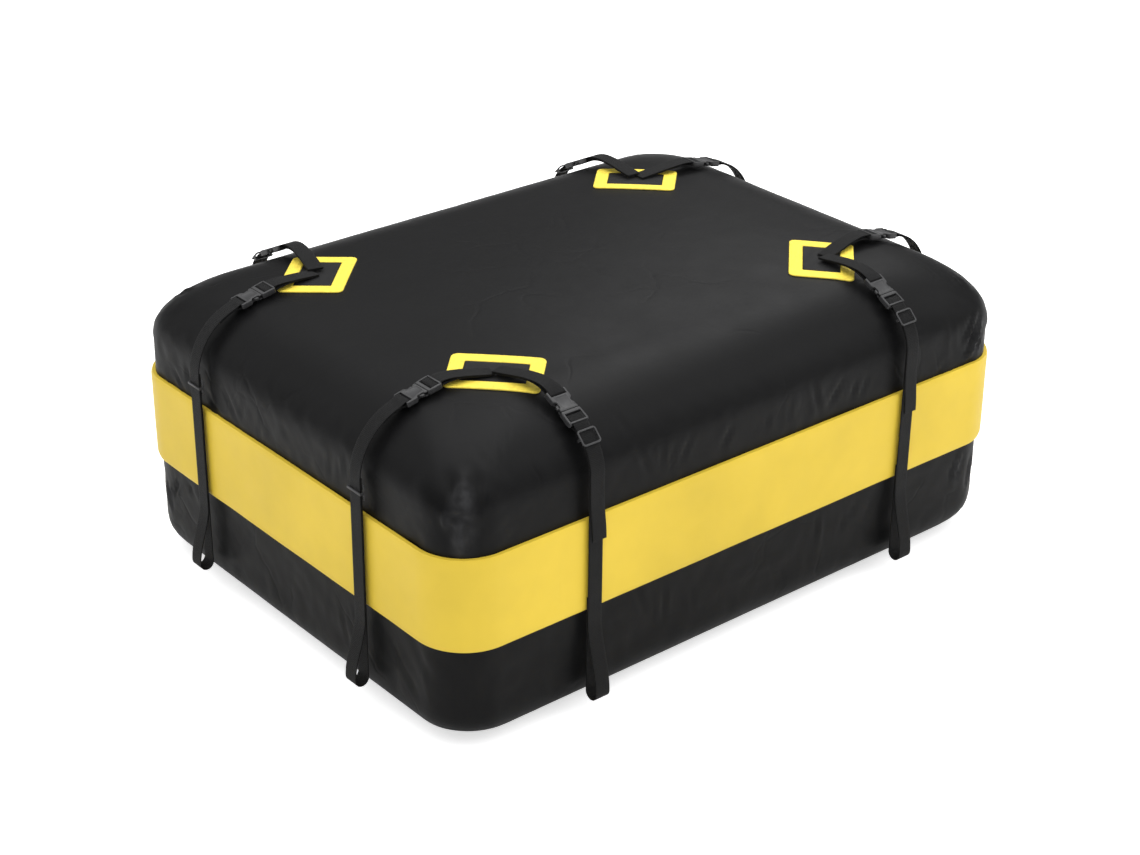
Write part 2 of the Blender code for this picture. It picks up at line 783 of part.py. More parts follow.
def converged(q, clear_at, base):
    """Offset of a layer that leaves a bar at q = clear_at and closes up to its place in the stack."""
    share = smoothstep((q - clear_at) / STRAP_CONVERGE)
    return math.copysign(BAR_SPREAD, base) + (base - math.copysign(BAR_SPREAD, base)) * share


def shoulder_stops(line, clear_at):
    """Values of q along the converging stretch and the shoulder arc."""
    early = [clear_at + STRAP_CONVERGE * share for share in (0.0, 0.25, 0.5, 0.75)]
    start = clear_at + STRAP_CONVERGE
    later = [start + (line.arc_length - start) * step / ARC_STEPS for step in range(ARC_STEPS + 1)]
    return early + later


def foot_loop(line, main_offset, back_offset, bottom, back_top_q):
    """Stations of the loop at a strap's foot: out, round the bottom and up behind."""
    back_u = line.straight_u + back_offset
    centre_u = back_u + LOOP_RADIUS
    centre_z = bottom + WEB_THICKNESS / 2 + LOOP_RADIUS
    start_u = line.straight_u + main_offset
    found = []
    for step in range(LOOP_RUN_STEPS):
        share = step / LOOP_RUN_STEPS
        u, _ = hermite(start_u, 0, back_u + 2 * LOOP_RADIUS, 0, share)
        z = LOOP_START_Z + (centre_z - LOOP_START_Z) * share
        found.append((line.point(u, 0, z), line.across))
    for step in range(LOOP_STEPS + 1):
        angle = math.pi * step / LOOP_STEPS
        u = centre_u + LOOP_RADIUS * math.cos(angle)
        z = centre_z - LOOP_RADIUS * math.sin(angle)
        found.append((line.point(u, 0, z), line.across))
    low_q = line.q_at_height(LOOP_START_Z)
    for q in (low_q, back_top_q):
        found.append(line.on_line(q, back_offset))
    return found


def make_side_strap(line):
    """Tail end, ladder lock, shoulder and foot loop of a long strap on a long side."""
    bar_q = side_buckle_q(PLUG_BAR_AT)
    clear_q = side_buckle_q(PLUG_LENGTH_END) + BAR_CLEARANCE
    stops = shoulder_stops(line, clear_q)
    tail_end_q = line.q_at_height(TAIL_END_Z)
    drift_q = line.q_at_height(TAIL_END_Z + TAIL_DRIFT)
    stations = [line.on_line(tail_end_q, LAYER_OFFSET, TAIL_SHIFT)]
    stations.append(line.on_line((tail_end_q + drift_q) / 2, LAYER_OFFSET, TAIL_SHIFT / 2))
    stations.append(line.on_line(drift_q, LAYER_OFFSET))
    stations += [line.on_line(q, converged(q, clear_q, LAYER_OFFSET)) for q in reversed(stops)]
    stations += line.hairpin(bar_q, -1)
    stations += [line.on_line(q, converged(q, clear_q, -LAYER_OFFSET)) for q in stops]
    back_offset = -LAYER_OFFSET - LAYER_PITCH
    back_top_q = line.q_at_height(SIDE_BACK_LAYER_TOP)
    stations += foot_loop(line, -LAYER_OFFSET, back_offset, SIDE_LOOP_BOTTOM, back_top_q)
    return ribbon(f"side_strap_{line.corner}", stations)


def make_end_strap(line):
    """Buckle loop, shoulder, foot loop and back layer of a long strap on a short side."""
    bar_q = end_buckle_q(SOCKET_BAR_AT)
    clear_q = end_buckle_q(0) + BAR_CLEARANCE
    stops = shoulder_stops(line, clear_q)
    returned = [q for q in stops if q < END_RETURN_LENGTH] + [END_RETURN_LENGTH]
    stations = [line.on_line(q, converged(q, clear_q, -LAYER_OFFSET)) for q in reversed(returned)]
    stations += reversed(line.hairpin(bar_q, -1))
    stations += [line.on_line(q, converged(q, clear_q, LAYER_OFFSET)) for q in stops]
    back_top_q = line.arc_length - END_BACK_LAYER_STOP
    stations += foot_loop(line, LAYER_OFFSET, -LAYER_OFFSET, END_LOOP_BOTTOM, line.arc_length)
    stations.append(line.on_line(back_top_q, -LAYER_OFFSET))
    return ribbon(f"end_strap_{line.corner}", stations)


def make_stub(line):
    """The doubled webbing from its root on the pad to the buckle's bar."""
    if line.kind == "side":
        bar_q = side_buckle_q(SOCKET_BAR_AT)
        clear_q = side_buckle_q(0) - STUB_HORN_ROOM
        root_reach = SIDE_STUB_ROOT
    else:
        bar_q = end_buckle_q(PLUG_BAR_AT)
        clear_q = end_buckle_q(PLUG_LENGTH_END) - BAR_CLEARANCE
        root_reach = END_STUB_ROOT
    centre = Vector((*patch_centre(line.corner), 0))
    root = centre + line.out * root_reach
    root_u = root.dot(line.out)
    root_side = root.dot(line.across) - line.plane
    layer_seat = PATCH_LIFT + PAD_THICKNESS + STUB_SEAT + STACK_HALF
    root_z = lid_height(lid_inset(root.x, root.y)) + layer_seat
    end_u, end_z, end_fall = line.at(clear_q)
    run = math.hypot(end_u - root_u, end_z - root_z)
    side_slope = -STUB_TURN * root_side
    upper, lower = [], []
    for step in range(STUB_STEPS + 1):
        t = step / STUB_STEPS
        u, slope_u = hermite(root_u, run, end_u, run * math.cos(end_fall), t)
        z, slope_z = hermite(root_z, run * math.sin(STUB_ROOT_RISE), end_z, -run * math.sin(end_fall), t)
        sideways, slope_side = hermite(root_side, side_slope, 0, 0, t)
        yaw = math.atan2(slope_side, slope_u)
        fall = math.atan2(-slope_z, slope_u)
        opened = smoothstep((t - STUB_SPREAD_START) / (1 - STUB_SPREAD_START))
        spread = LAYER_OFFSET + (BAR_SPREAD - LAYER_OFFSET) * opened
        upper.append(line.station(u, z, fall, spread, sideways, yaw))
        lower.append(line.station(u, z, fall, -spread, sideways, yaw))
    stations = upper + line.hairpin(bar_q, 1) + lower[::-1]
    return ribbon(f"{line.kind}_stub_{line.corner}", stations)


# Buckles


def side_buckle_q(along):
    """Place on the strap line of a length along a side strap's buckle: its plug is the outer half."""
    return along - PLUG_LENGTH_END - SIDE_BUCKLE_LEAD


def end_buckle_q(along):
    """The same for an end strap's buckle, which lies the other way round."""
    return -END_BUCKLE_LEAD - along


def mirrored(half):
    """A closed outline from the points of its +Y half."""
    return list(half) + [(x, -y) for x, y in reversed(half)]


def socket_mesh():
    """The receiving half: two horns, a fixed bar, two plates with side notches and an open mouth."""
    wide = BUCKLE_HALF_WIDTH
    notch = wide - SOCKET_NOTCH_DEPTH
    half = (
        (0.0, BUCKLE_SLOT_HALF + HORN_INSET),
        (RIM_EASE, wide - RIM_EASE),
        (BUCKLE_RAIL, wide),
        (SOCKET_SLOT_END + 2 * RIM_EASE, wide),
        (SOCKET_CAVITY_START - RIM_EASE, wide - RIM_EASE),
        (SOCKET_CAVITY_START + RIM_EASE, notch),
        (SOCKET_NOTCH_END - 2 * RIM_EASE, notch),
        (SOCKET_NOTCH_END, wide - SOCKET_MOUTH_INSET),
        (SOCKET_LENGTH - RIM_EASE, wide - SOCKET_MOUTH_INSET),
        (SOCKET_LENGTH, wide - SOCKET_MOUTH_INSET - RIM_EASE),
    )
    body = prism("socket_body", mirrored(half), 2 * BUCKLE_HALF_THICKNESS, HELPERS, BUCKLE_EDGE)
    tall = 2 * BUCKLE_HALF_THICKNESS
    slot = box(
        "socket_slot",
        (-BUCKLE_RAIL, -BUCKLE_SLOT_HALF, -tall),
        (SOCKET_SLOT_END, BUCKLE_SLOT_HALF, tall),
        HELPERS,
    )
    cavity_half = BUCKLE_HALF_THICKNESS - SOCKET_PLATE
    cavity = box(
        "socket_cavity",
        (SOCKET_CAVITY_START, -2 * wide, -cavity_half),
        (SOCKET_LENGTH + BUCKLE_RAIL, 2 * wide, cavity_half),
        HELPERS,
    )
    reach = BUCKLE_SLOT_HALF + BUCKLE_RAIL / 2
    bar = rod(
        "socket_bar",
        BUCKLE_BAR_RADIUS,
        (SOCKET_BAR_AT, -reach, 0),
        (SOCKET_BAR_AT, reach, 0),
        HELPERS,
    )
    return combine(body, [("DIFFERENCE", slot), ("DIFFERENCE", cavity), ("UNION", bar)])


def plug_mesh():
    """The entering half: two sprung arms with lugs, a guide tongue and a ladder lock."""
    wide = BUCKLE_HALF_WIDTH
    half = (
        (PLUG_START, wide - PLUG_SHOULDER),
        (PLUG_START + 2 * RIM_EASE, wide - RIM_EASE),
        (PLUG_WINDOW_START, wide),
        (PLUG_WINDOW_END - RIM_EASE, wide),
        (PLUG_LENGTH_END - RIM_EASE, wide - RIM_EASE),
        (PLUG_LENGTH_END, wide - PLUG_SHOULDER),
    )
    frame = prism("plug_frame", mirrored(half), 2 * BUCKLE_HALF_THICKNESS, HELPERS, BUCKLE_EDGE)
    tall = 2 * BUCKLE_HALF_THICKNESS
    slot = BUCKLE_SLOT_HALF
    window = box("plug_window", (PLUG_WINDOW_START, -slot, -tall), (PLUG_WINDOW_END, slot, tall), HELPERS)
    steps = [("DIFFERENCE", window)]
    end_bar_half = BUCKLE_BAR_RADIUS - WELD
    relief_start = PLUG_WINDOW_END - RIM_EASE
    relief_end = PLUG_LENGTH_END + BUCKLE_RAIL
    for side in (-1, 1):
        z = sorted((side * end_bar_half, side * tall))
        relief = box("plug_relief", (relief_start, -slot, z[0]), (relief_end, slot, z[1]), HELPERS)
        steps.append(("DIFFERENCE", relief))
    reach = slot + BUCKLE_RAIL / 2
    bar = rod("plug_bar", BUCKLE_BAR_RADIUS, (PLUG_BAR_AT, -reach, 0), (PLUG_BAR_AT, reach, 0), HELPERS)
    steps.append(("UNION", bar))
    root = PLUG_START + PRONG_ROOT
    arm_in = wide - PRONG_INSET
    arm_out = arm_in + PRONG_WIDTH
    lug = wide - LUG_INSET
    arm = (
        (root, arm_in),
        (root, arm_out),
        (PRONG_TIP_AT + LUG_END + RIM_EASE, arm_out + HORN_INSET),
        (PRONG_TIP_AT + LUG_END, lug),
        (PRONG_TIP_AT + LUG_START, lug - HORN_INSET),
        (PRONG_TIP_AT, arm_out - RIM_EASE),
        (PRONG_TIP_AT, arm_in + 2 * RIM_EASE),
        (PRONG_TIP_AT + 2 * RIM_EASE, arm_in),
    )
    for side in (-1, 1):
        outline = [(x, side * y) for x, y in arm]
        steps.append(("UNION", prism("plug_arm", outline, 2 * PRONG_HALF_THICKNESS, HELPERS)))
    tongue_low = (PRONG_TIP_AT + TONGUE_TIP, -TONGUE_HALF, -PRONG_HALF_THICKNESS)
    tongue = box("plug_tongue", tongue_low, (root, TONGUE_HALF, PRONG_HALF_THICKNESS), HELPERS)
    steps.append(("UNION", tongue))
    return combine(frame, steps)


# Tri-glides


def tri_glide_mesh():
    """A ring over the webbing and a centre bar under it. Local X is along the strap, Z from bar to ring."""
    half_length = GLIDE_LENGTH / 2
    half_width = BUCKLE_SLOT_HALF + GLIDE_RAIL
    near = STACK_HALF + FIT_GAP
    far = near + GLIDE_PLATE
    outline = rounded_rectangle(half_length, half_width, GLIDE_CORNER, GLIDE_CORNER_STEPS)
    ring = prism("glide_ring", outline, GLIDE_PLATE, HELPERS)
    ring.data.transform(Matrix.Translation((0, 0, (near + far) / 2)))
    hole = box(
        "glide_hole",
        (-half_length + GLIDE_END_BAR, -BUCKLE_SLOT_HALF, 0),
        (half_length - GLIDE_END_BAR, BUCKLE_SLOT_HALF, 2 * far),
        HELPERS,
    )
    bar_half = GLIDE_CENTRE_BAR / 2
    reach = half_width - WELD
    bar = box("glide_bar", (-bar_half, -reach, -far), (bar_half, reach, -near), HELPERS)
    steps = [("DIFFERENCE", hole), ("UNION", bar)]
    for side in (-1, 1):
        y = sorted((side * BUCKLE_SLOT_HALF, side * reach))
        post = box("glide_post", (-bar_half, y[0], -far + WELD), (bar_half, y[1], far - WELD), HELPERS)
        steps.append(("UNION", post))
    return combine(ring, steps)


def glide_matrix(line, q, ring_out):
    """Local X down the strap; the ring lies outside the webbing or, turned over, inside it."""
    u, z, fall = line.at(q)
    along = line.out * math.cos(fall) - Vector((0, 0, math.sin(fall)))
    up = line.out * math.sin(fall) + Vector((0, 0, math.cos(fall)))
    return frame_matrix(line.point(u, 0, z), along, up if ring_out else -up)


def arc_axis_matrix(line):
    """The shoulder arc's axis, on which a side strap's tri-glide turns."""
    return frame_matrix(line.point(line.arc_u, 0, line.arc_z), line.across, Vector((0, 0, 1)))


def make_strap_set(kind, corner, socket, plug, glide):
    """Stub, buckle, long strap and tri-glide of one strap, with empties on its joints' axes."""
    line = StrapLine(kind, corner)
    on_side = kind == "side"
    if on_side:
        place = line.buckle_matrix(side_buckle_q(0), False)
        glide_q = line.radius * (SIDE_GLIDE_ANGLE - line.slope)
    else:
        place = line.buckle_matrix(end_buckle_q(0), True)
        glide_q = line.q_at_height(END_GLIDE_Z)
    make_stub(line)
    socket_obj = add_object(f"{kind}_socket_{corner}", socket.copy(), "buckle_plastic", place)
    plug_obj = add_object(f"{kind}_plug_{corner}", plug.copy(), "buckle_plastic", place)
    strap = make_side_strap(line) if on_side else make_end_strap(line)
    release = add_empty(f"{kind}_release_{corner}", place)
    attach(plug_obj if on_side else socket_obj, release)
    attach(strap, release)
    slide_place = glide_matrix(line, glide_q, on_side)
    glide_obj = add_object(f"{kind}_tri_glide_{corner}", glide.copy(), "buckle_plastic", slide_place)
    slide_axis = add_empty(f"{kind}_glide_axis_{corner}", arc_axis_matrix(line) if on_side else slide_place)
    attach(slide_axis, release)
    axis_world = release.matrix_basis @ slide_axis.matrix_parent_inverse @ slide_axis.matrix_basis
    glide_obj.parent = slide_axis
    glide_obj.matrix_parent_inverse = axis_world.inverted()


def main():
    make_tub()
    make_lid()
    make_flap()
    make_zip_chain()
    make_hinge_strip()
    make_zip_sliders()
    socket = socket_mesh()
    plug = plug_mesh()
    glide = tri_glide_mesh()
    for corner in CORNERS:
        make_patch(corner)
        make_pad(corner)
        for kind in ("side", "end"):
            make_strap_set(kind, corner, socket, plug, glide)


clear_scene()
PARTS = new_collection("rooftop_cargo_carrier")
HELPERS = new_collection("construction", hidden=True)
main()
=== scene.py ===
"""Looks of a soft rooftop cargo carrier: tarpaulin, webbing, buckles and a plain studio.

Metres, +Z up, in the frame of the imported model. X runs along the long side, the front is -Y.
"""

import json
import math

import bmesh
import bpy
import numpy as np
from bpy.props import FloatProperty, FloatVectorProperty, IntProperty, PointerProperty
from bpy.types import Operator, Panel, PropertyGroup
from mathutils import Matrix, Vector, noise


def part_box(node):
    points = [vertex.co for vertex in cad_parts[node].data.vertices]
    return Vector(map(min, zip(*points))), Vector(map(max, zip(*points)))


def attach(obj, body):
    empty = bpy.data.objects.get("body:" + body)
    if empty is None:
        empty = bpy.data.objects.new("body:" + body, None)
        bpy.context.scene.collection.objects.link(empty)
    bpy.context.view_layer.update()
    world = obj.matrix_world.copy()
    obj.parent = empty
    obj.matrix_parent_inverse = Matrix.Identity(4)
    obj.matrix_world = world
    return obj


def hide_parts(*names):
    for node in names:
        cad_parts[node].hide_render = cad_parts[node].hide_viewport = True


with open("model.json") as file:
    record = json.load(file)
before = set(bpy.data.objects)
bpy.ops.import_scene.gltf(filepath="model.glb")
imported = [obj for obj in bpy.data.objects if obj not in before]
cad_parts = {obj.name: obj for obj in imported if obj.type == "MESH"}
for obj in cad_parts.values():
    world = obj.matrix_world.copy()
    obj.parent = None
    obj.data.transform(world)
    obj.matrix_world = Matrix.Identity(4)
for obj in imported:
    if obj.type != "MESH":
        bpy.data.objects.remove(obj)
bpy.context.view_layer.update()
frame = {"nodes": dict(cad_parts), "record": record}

bl_info = {
    "name": "Rooftop cargo carrier",
    "version": (1, 0, 0),
    "blender": (4, 5, 0),
    "location": "3D View > Sidebar > Carrier",
    "description": "Dresses the frame of a soft rooftop cargo carrier and lights it",
    "category": "Add Mesh",
}

CORNERS = {
    "front_left": (-1, -1),
    "front_right": (1, -1),
    "back_left": (-1, 1),
    "back_right": (1, 1),
}
KINDS = ("side", "end")

TUB_LOW, TUB_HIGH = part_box("bag_tub")
LID_LOW, LID_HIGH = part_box("bag_lid")
FLAP_LOW, FLAP_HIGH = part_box("zip_flap")


def length(name, description, default, **more):
    return FloatProperty(name=name, description=description, default=default, unit="LENGTH", **more)


def degrees(name, description, default):
    turn = math.radians(default)
    return FloatProperty(name=name, description=description, default=turn, unit="ROTATION")


def plain(name, description, default):
    return FloatProperty(name=name, description=description, default=default)


def whole(name, description, default):
    return IntProperty(name=name, description=description, default=default)


def colour(name, description, default):
    return FloatVectorProperty(
        name=name, description=description, default=default, size=3, subtype="COLOR", min=0.0, max=1.0
    )


class CarrierBag(PropertyGroup):
    """Sizes of the bag, its yellow band and its anchor patches."""

    half_length: length("Half length", "From the middle to an end wall", LID_HIGH.x)
    half_width: length("Half width", "From the middle to a long wall", LID_HIGH.y)
    crown_rise: length("Crown", "Height of the lid's middle over its shoulders", 0.010)
    shoulder_top: length("Shoulder top", "Height where the shoulders end", LID_HIGH.z - 0.010)
    shoulder_drop: length("Shoulder drop", "Height of the rounded shoulder", 0.094)
    shoulder_reach: length("Shoulder reach", "How far in the shoulder goes", 0.137)
    corner_radius: length("Corner radius", "Of the walls, seen from above", 0.075)
    corner_growth: plain("Corner growth", "Radius gained per inset", 0.26)
    base_rise: length("Base rise", "Height of the rounded base edge", 0.050)
    base_reach: length("Base reach", "How far in the base edge goes", 0.065)
    lid_foot: length("Lid foot", "Height of the lid's lower edge", LID_LOW.z)
    tub_rim: length("Tub rim", "Height of the tub's upper edge", TUB_HIGH.z)
    fabric: length("Fabric", "Thickness of the tarpaulin", 0.0022)
    cells_long: whole("Cells along", "Mesh cells along the bag", 176)
    cells_wide: whole("Cells across", "Mesh cells across the bag", 128)
    band_top: length("Band top", "Height of the band's upper edge", FLAP_HIGH.z)
    band_bottom: length("Band bottom", "Height of the band's lower edge", FLAP_LOW.z)
    band_standoff: length("Band standoff", "Band's face in front of the wall", FLAP_HIGH.y - LID_HIGH.y)
    band_sheet: length("Band sheet", "Thickness of the band's fabric", 0.0016)
    patch_length: length("Patch length", "Outer length of an anchor patch", 0.135)
    patch_depth: length("Patch depth", "Outer depth of an anchor patch", 0.100)
    patch_corner: length("Patch corner", "Outer corner radius", 0.010)
    window_length: length("Window length", "Opening of the yellow frame", 0.092)
    window_depth: length("Window depth", "Opening of the yellow frame", 0.058)
    patch_lift: length("Patch lift", "Underside of a patch over the lid", 0.0004)
    pad_height: length("Pad height", "Upper face of the pad over the lid", 0.0025)


class CarrierCloth(PropertyGroup):
    """How the bag's cloth buckles, and how deep its folds are."""

    frames: whole("Frames", "Steps of the cloth simulation", 20)
    growth: plain("Growth", "Share by which slack cloth is too long", 0.007)
    hold: plain("Hold", "How firmly the filling holds slack cloth", 0.42)
    reach: length("Reach", "Furthest that simulated cloth moves", 0.0024)
    seed_depth: length("Seed depth", "Unevenness that the simulation starts from", 0.0008)
    pleats: length("Pleats", "Depth of the pleats beside the band", 0.0009)
    creases: length("Creases", "Height of thin creases in the walls", 0.0007)
    broad: length("Broad swells", "Depth of the slow unevenness", 0.0012)
    crumples: length("Crumples", "Depth of the facets at the corners", 0.0030)


class CarrierStraps(PropertyGroup):
    """Sizes of the webbing and of the line that each strap follows."""

    width: length("Webbing width", "Width of every strap", 0.025)
    thickness: length("Webbing thickness", "One layer", 0.0014)
    pitch: length("Layer pitch", "Between the middles of two layers", 0.002)
    standoff: length("Standoff", "Strap in front of the band", 0.007)
    side_plane: length("Side strap place", "From the middle, along X", 0.310)
    end_plane: length("End strap place", "From the middle, along Y", 0.206)
    side_slope: degrees("Side slope", "Fall of the side buckles", 27.0)
    end_slope: degrees("End slope", "Fall of the end buckles", 12.0)
    side_radius: length("Side shoulder radius", "Arc of the side straps", 0.0687)
    end_radius: length("End shoulder radius", "Arc of the end straps", 0.0966)
    side_drop: length("Side arc drop", "Arc centre under the shoulder top", 0.0822)
    end_drop: length("End arc drop", "Arc centre under the shoulder top", 0.0975)
    tail_end: length("Tail end", "Height of a side strap's free end", 0.277)
    tail_shift: length("Tail shift", "Sideways drift of the free end", 0.005)
    loop_start: length("Loop start", "Height where the foot loop opens", 0.150)
    loop_radius: length("Loop radius", "Of the foot loops", 0.011)
    side_loop_bottom: length("Side loop bottom", "Height of a side loop's bottom", 0.026)
    end_loop_bottom: length("End loop bottom", "Height of an end loop's bottom", 0.043)
    side_back_top: length("Side back layer", "Height where the sewn layer ends", 0.190)
    side_root: length("Side root", "Stub root out of the patch centre", 0.004)
    end_root: length("End root", "Stub root out of the patch centre", 0.006)
    converge: length("Converge", "Run in which two layers close up", 0.010)
    return_length: length("Return", "Length of an end strap's return layer", 0.040)


class CarrierBuckles(PropertyGroup):
    """Sizes of the side-release buckles and the tri-glides."""

    half_thickness: length("Half thickness", "Of a buckle", 0.0042)
    bar_radius: length("Bar radius", "Round bars that carry webbing", 0.002)
    rail: length("Rail", "Width of a buckle's side rails", 0.003)
    slot_half: length("Slot half", "Half width of a webbing slot", 0.0135)
    socket_bar: length("Socket bar", "Bar from the horn tips", 0.005)
    slot_end: length("Slot end", "End of the socket's webbing slot", 0.010)
    cavity_start: length("Cavity start", "Where the socket is hollow", 0.019)
    notch_end: length("Notch end", "End of the side notches", 0.031)
    socket_end: length("Socket end", "Mouth of the socket", 0.036)
    plug_start: length("Plug start", "Shoulder of the plug", 0.0364)
    window_start: length("Window start", "Of the ladder lock", 0.0415)
    plug_bar: length("Plug bar", "Middle bar of the ladder lock", 0.0475)
    window_end: length("Window end", "Of the ladder lock", 0.0565)
    plug_end: length("Plug end", "End of the ladder lock", 0.060)
    side_lead: length("Side lead", "From plug end to the shoulder arc", 0.0015)
    end_lead: length("End lead", "From horn tips to the shoulder arc", 0.002)
    glide_length: length("Tri-glide length", "Along the strap", 0.024)
    glide_end_bar: length("Tri-glide end bar", "Width of an end bar", 0.0026)
    glide_rail: length("Tri-glide rail", "Width of a side rail", 0.0025)
    glide_plate: length("Tri-glide plate", "Thickness", 0.0022)
    glide_centre_bar: length("Tri-glide bar", "Width of the centre bar", 0.0036)
    side_glide_angle: degrees("Side tri-glide", "Its place on the shoulder arc", 45.0)
    end_glide_height: length("End tri-glide", "Its height", 0.350)


class CarrierFinish(PropertyGroup):
    """Colours of the fabrics and plastics."""

    tarpaulin: colour("Tarpaulin", "Coated fabric of the bag", (0.0055, 0.0055, 0.0058))
    band: colour("Band", "Yellow coated fabric", (0.830, 0.598, 0.058))
    rubber: colour("Rubber", "Yellow moulded frames", (0.980, 0.770, 0.090))
    pad: colour("Pad", "Fabric inside the frames", (0.0120, 0.0120, 0.0125))
    webbing: colour("Webbing", "Woven straps", (0.0090, 0.0090, 0.0093))
    plastic: colour("Plastic", "Buckles and tri-glides", (0.0440, 0.0440, 0.0455))
    metal: colour("Metal", "Zip sliders and pulls", (0.110, 0.110, 0.120))
    floor: colour("Floor", "Studio floor", (0.95, 0.95, 0.95))


class CarrierStage(PropertyGroup):
    """Camera and lights."""

    camera_place: FloatVectorProperty(
        name="Camera",
        description="Camera's place",
        default=(-2.06427, -2.45979, 1.83524),
        subtype="TRANSLATION",
    )
    camera_yaw: degrees("Yaw", "Camera's turn from +Y towards +X", 39.896)
    camera_pitch: degrees("Pitch", "Camera's fall", 27.225)
    camera_roll: degrees("Roll", "Camera's roll", 0.523)
    camera_lens: plain("Lens", "Focal length in mm, on 36 mm", 71.75)
    floor_size: length("Floor size", "Edge of the floor", 40.0)
    horizon: plain("Horizon", "Strength of the surroundings low down", 0.16)
    zenith: plain("Zenith", "Strength of the surroundings overhead", 1.8)
    glow: plain("Glow", "Light that the floor gives to the camera alone", 0.6)


# Small helpers


def settings(name):
    return getattr(bpy.context.scene, f"carrier_{name}")


def deselect():
    if bpy.context.object is not None and bpy.context.object.mode != "OBJECT":
        bpy.ops.object.mode_set(mode="OBJECT")
    bpy.ops.object.select_all(action="DESELECT")


def activate(obj):
    deselect()
    obj.select_set(True)
    bpy.context.view_layer.objects.active = obj


def started(name):
    """The object that a primitive operator has just made, under its own name."""
    obj = bpy.context.object
    obj.name = name
    obj.data.name = name
    return obj


def vertices(obj):
    found = np.empty(len(obj.data.vertices) * 3, np.float32)
    obj.data.vertices.foreach_get("co", found)
    return found.reshape(-1, 3).astype(float)


def place_vertices(obj, points):
    obj.data.vertices.foreach_set("co", np.asarray(points, np.float32).ravel())
    obj.data.update()


def apply_modifier(obj, kind, **values):
    modifier = obj.modifiers.new(kind.title(), kind)
    for key, value in values.items():
        setattr(modifier, key, value)
    activate(obj)
    bpy.ops.object.modifier_apply(modifier=modifier.name)


def bevel_sharp(obj, width, angle):
    """Bevels the edges that are sharper than the angle."""
    limit = math.radians(angle)
    apply_modifier(obj, "BEVEL", width=width, segments=2, limit_method="ANGLE", angle_limit=limit)


def shade(obj, angle=35.0):
    activate(obj)
    bpy.ops.object.shade_smooth_by_angle(angle=math.radians(angle))


def face_outwards(obj):
    activate(obj)
    bpy.ops.object.mode_set(mode="EDIT")
    bpy.ops.mesh.select_all(action="SELECT")
    bpy.ops.mesh.remove_doubles(threshold=1e-6)
    bpy.ops.mesh.normals_make_consistent(inside=False)
    bpy.ops.object.mode_set(mode="OBJECT")


def dress(obj, finish):
    obj.data.materials.clear()
    obj.data.materials.append(finish)


def copy_piece(source, name, matrix):
    """A copy with its own mesh, its place in the mesh and its object at the origin."""
    made = source.copy()
    made.data = source.data.copy()
    made.name = name
    made.data.name = name
    made.data.transform(matrix)
    bpy.context.scene.collection.objects.link(made)
    return made


def discard(obj):
    bpy.data.objects.remove(obj, do_unlink=True)


def body_of_node(node):
    """The body that carries a CAD node."""
    return next(body for body, nodes in frame["record"]["behaviour"]["bodies"].items() if node in nodes)


def settle(obj, node, *others):
    """Lets a piece ride where its CAD node rides and stand for it."""
    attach(obj, body_of_node(node))
    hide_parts(node, *others)


def smoothstep(t):
    t = min(max(t, 0.0), 1.0)
    return t * t * (3 - 2 * t)


def hermite(start, start_slope, end, end_slope, t):
    """Value and slope at t of the cubic from start to end."""
    value = (
        (2 * t**3 - 3 * t**2 + 1) * start
        + (t**3 - 2 * t**2 + t) * start_slope
        + (3 * t**2 - 2 * t**3) * end
        + (t**3 - t**2) * end_slope
    )
    slope = (
        (6 * t**2 - 6 * t) * start
        + (3 * t**2 - 4 * t + 1) * start_slope
        + (6 * t - 6 * t**2) * end
        + (3 * t**2 - 2 * t) * end_slope
    )
    return value, slope


def noise_at(points, wave, seed, detail=1):
    """Smooth noise from -1 to 1 at each point; wave gives its size along X, Y and Z."""
    scaled = points / np.asarray(wave) + seed * np.array((3.17, 5.71, 1.93))
    if detail == 1:
        return np.array([noise.noise(Vector(p)) for p in scaled])
    return np.array([noise.fractal(Vector(p), 0.9, 2.1, detail) for p in scaled])


# Node groups that several materials share


def new_group(name, inputs, outputs):
    group = bpy.data.node_groups.new(name, "ShaderNodeTree")
    for label, kind, default in inputs:
        socket = group.interface.new_socket(name=label, in_out="INPUT", socket_type=kind)
        if default is not None:
            socket.default_value = default
    for label, kind in outputs:
        group.interface.new_socket(name=label, in_out="OUTPUT", socket_type=kind)
    entry = group.nodes.new("NodeGroupInput")
    leave = group.nodes.new("NodeGroupOutput")
    return group, entry, leave


def math_node(tree, operation, *values):
    node = tree.nodes.new("ShaderNodeMath")
    node.operation = operation
    for socket, value in zip(node.inputs, values):
        if isinstance(value, (int, float)):
            socket.default_value = value
        else:
            tree.links.new(value, socket)
    return node.outputs[0]


def vector_node(tree, operation, first, second=None):
    """A vector maths node whose second value, where it has one, is fixed."""
    node = tree.nodes.new("ShaderNodeVectorMath")
    node.operation = operation
    tree.links.new(first, node.inputs[0])
    if second is not None:
        node.inputs[1].default_value = second
    return node


def noise_node(tree, vector, scale, detail=2.0, roughness=0.5):
    node = tree.nodes.new("ShaderNodeTexNoise")
    node.inputs["Detail"].default_value = detail
    node.inputs["Roughness"].default_value = roughness
    tree.links.new(vector, node.inputs["Vector"])
    if isinstance(scale, (int, float)):
        node.inputs["Scale"].default_value = scale
    else:
        tree.links.new(scale, node.inputs["Scale"])
    return node.outputs["Fac"]


def range_node(tree, value, low, high, to_low, to_high):
    node = tree.nodes.new("ShaderNodeMapRange")
    tree.links.new(value, node.inputs["Value"])
    node.inputs["From Min"].default_value = low
    node.inputs["From Max"].default_value = high
    for key, bound in (("To Min", to_low), ("To Max", to_high)):
        if isinstance(bound, (int, float)):
            node.inputs[key].default_value = bound
        else:
            tree.links.new(bound, node.inputs[key])
    return node.outputs["Result"]


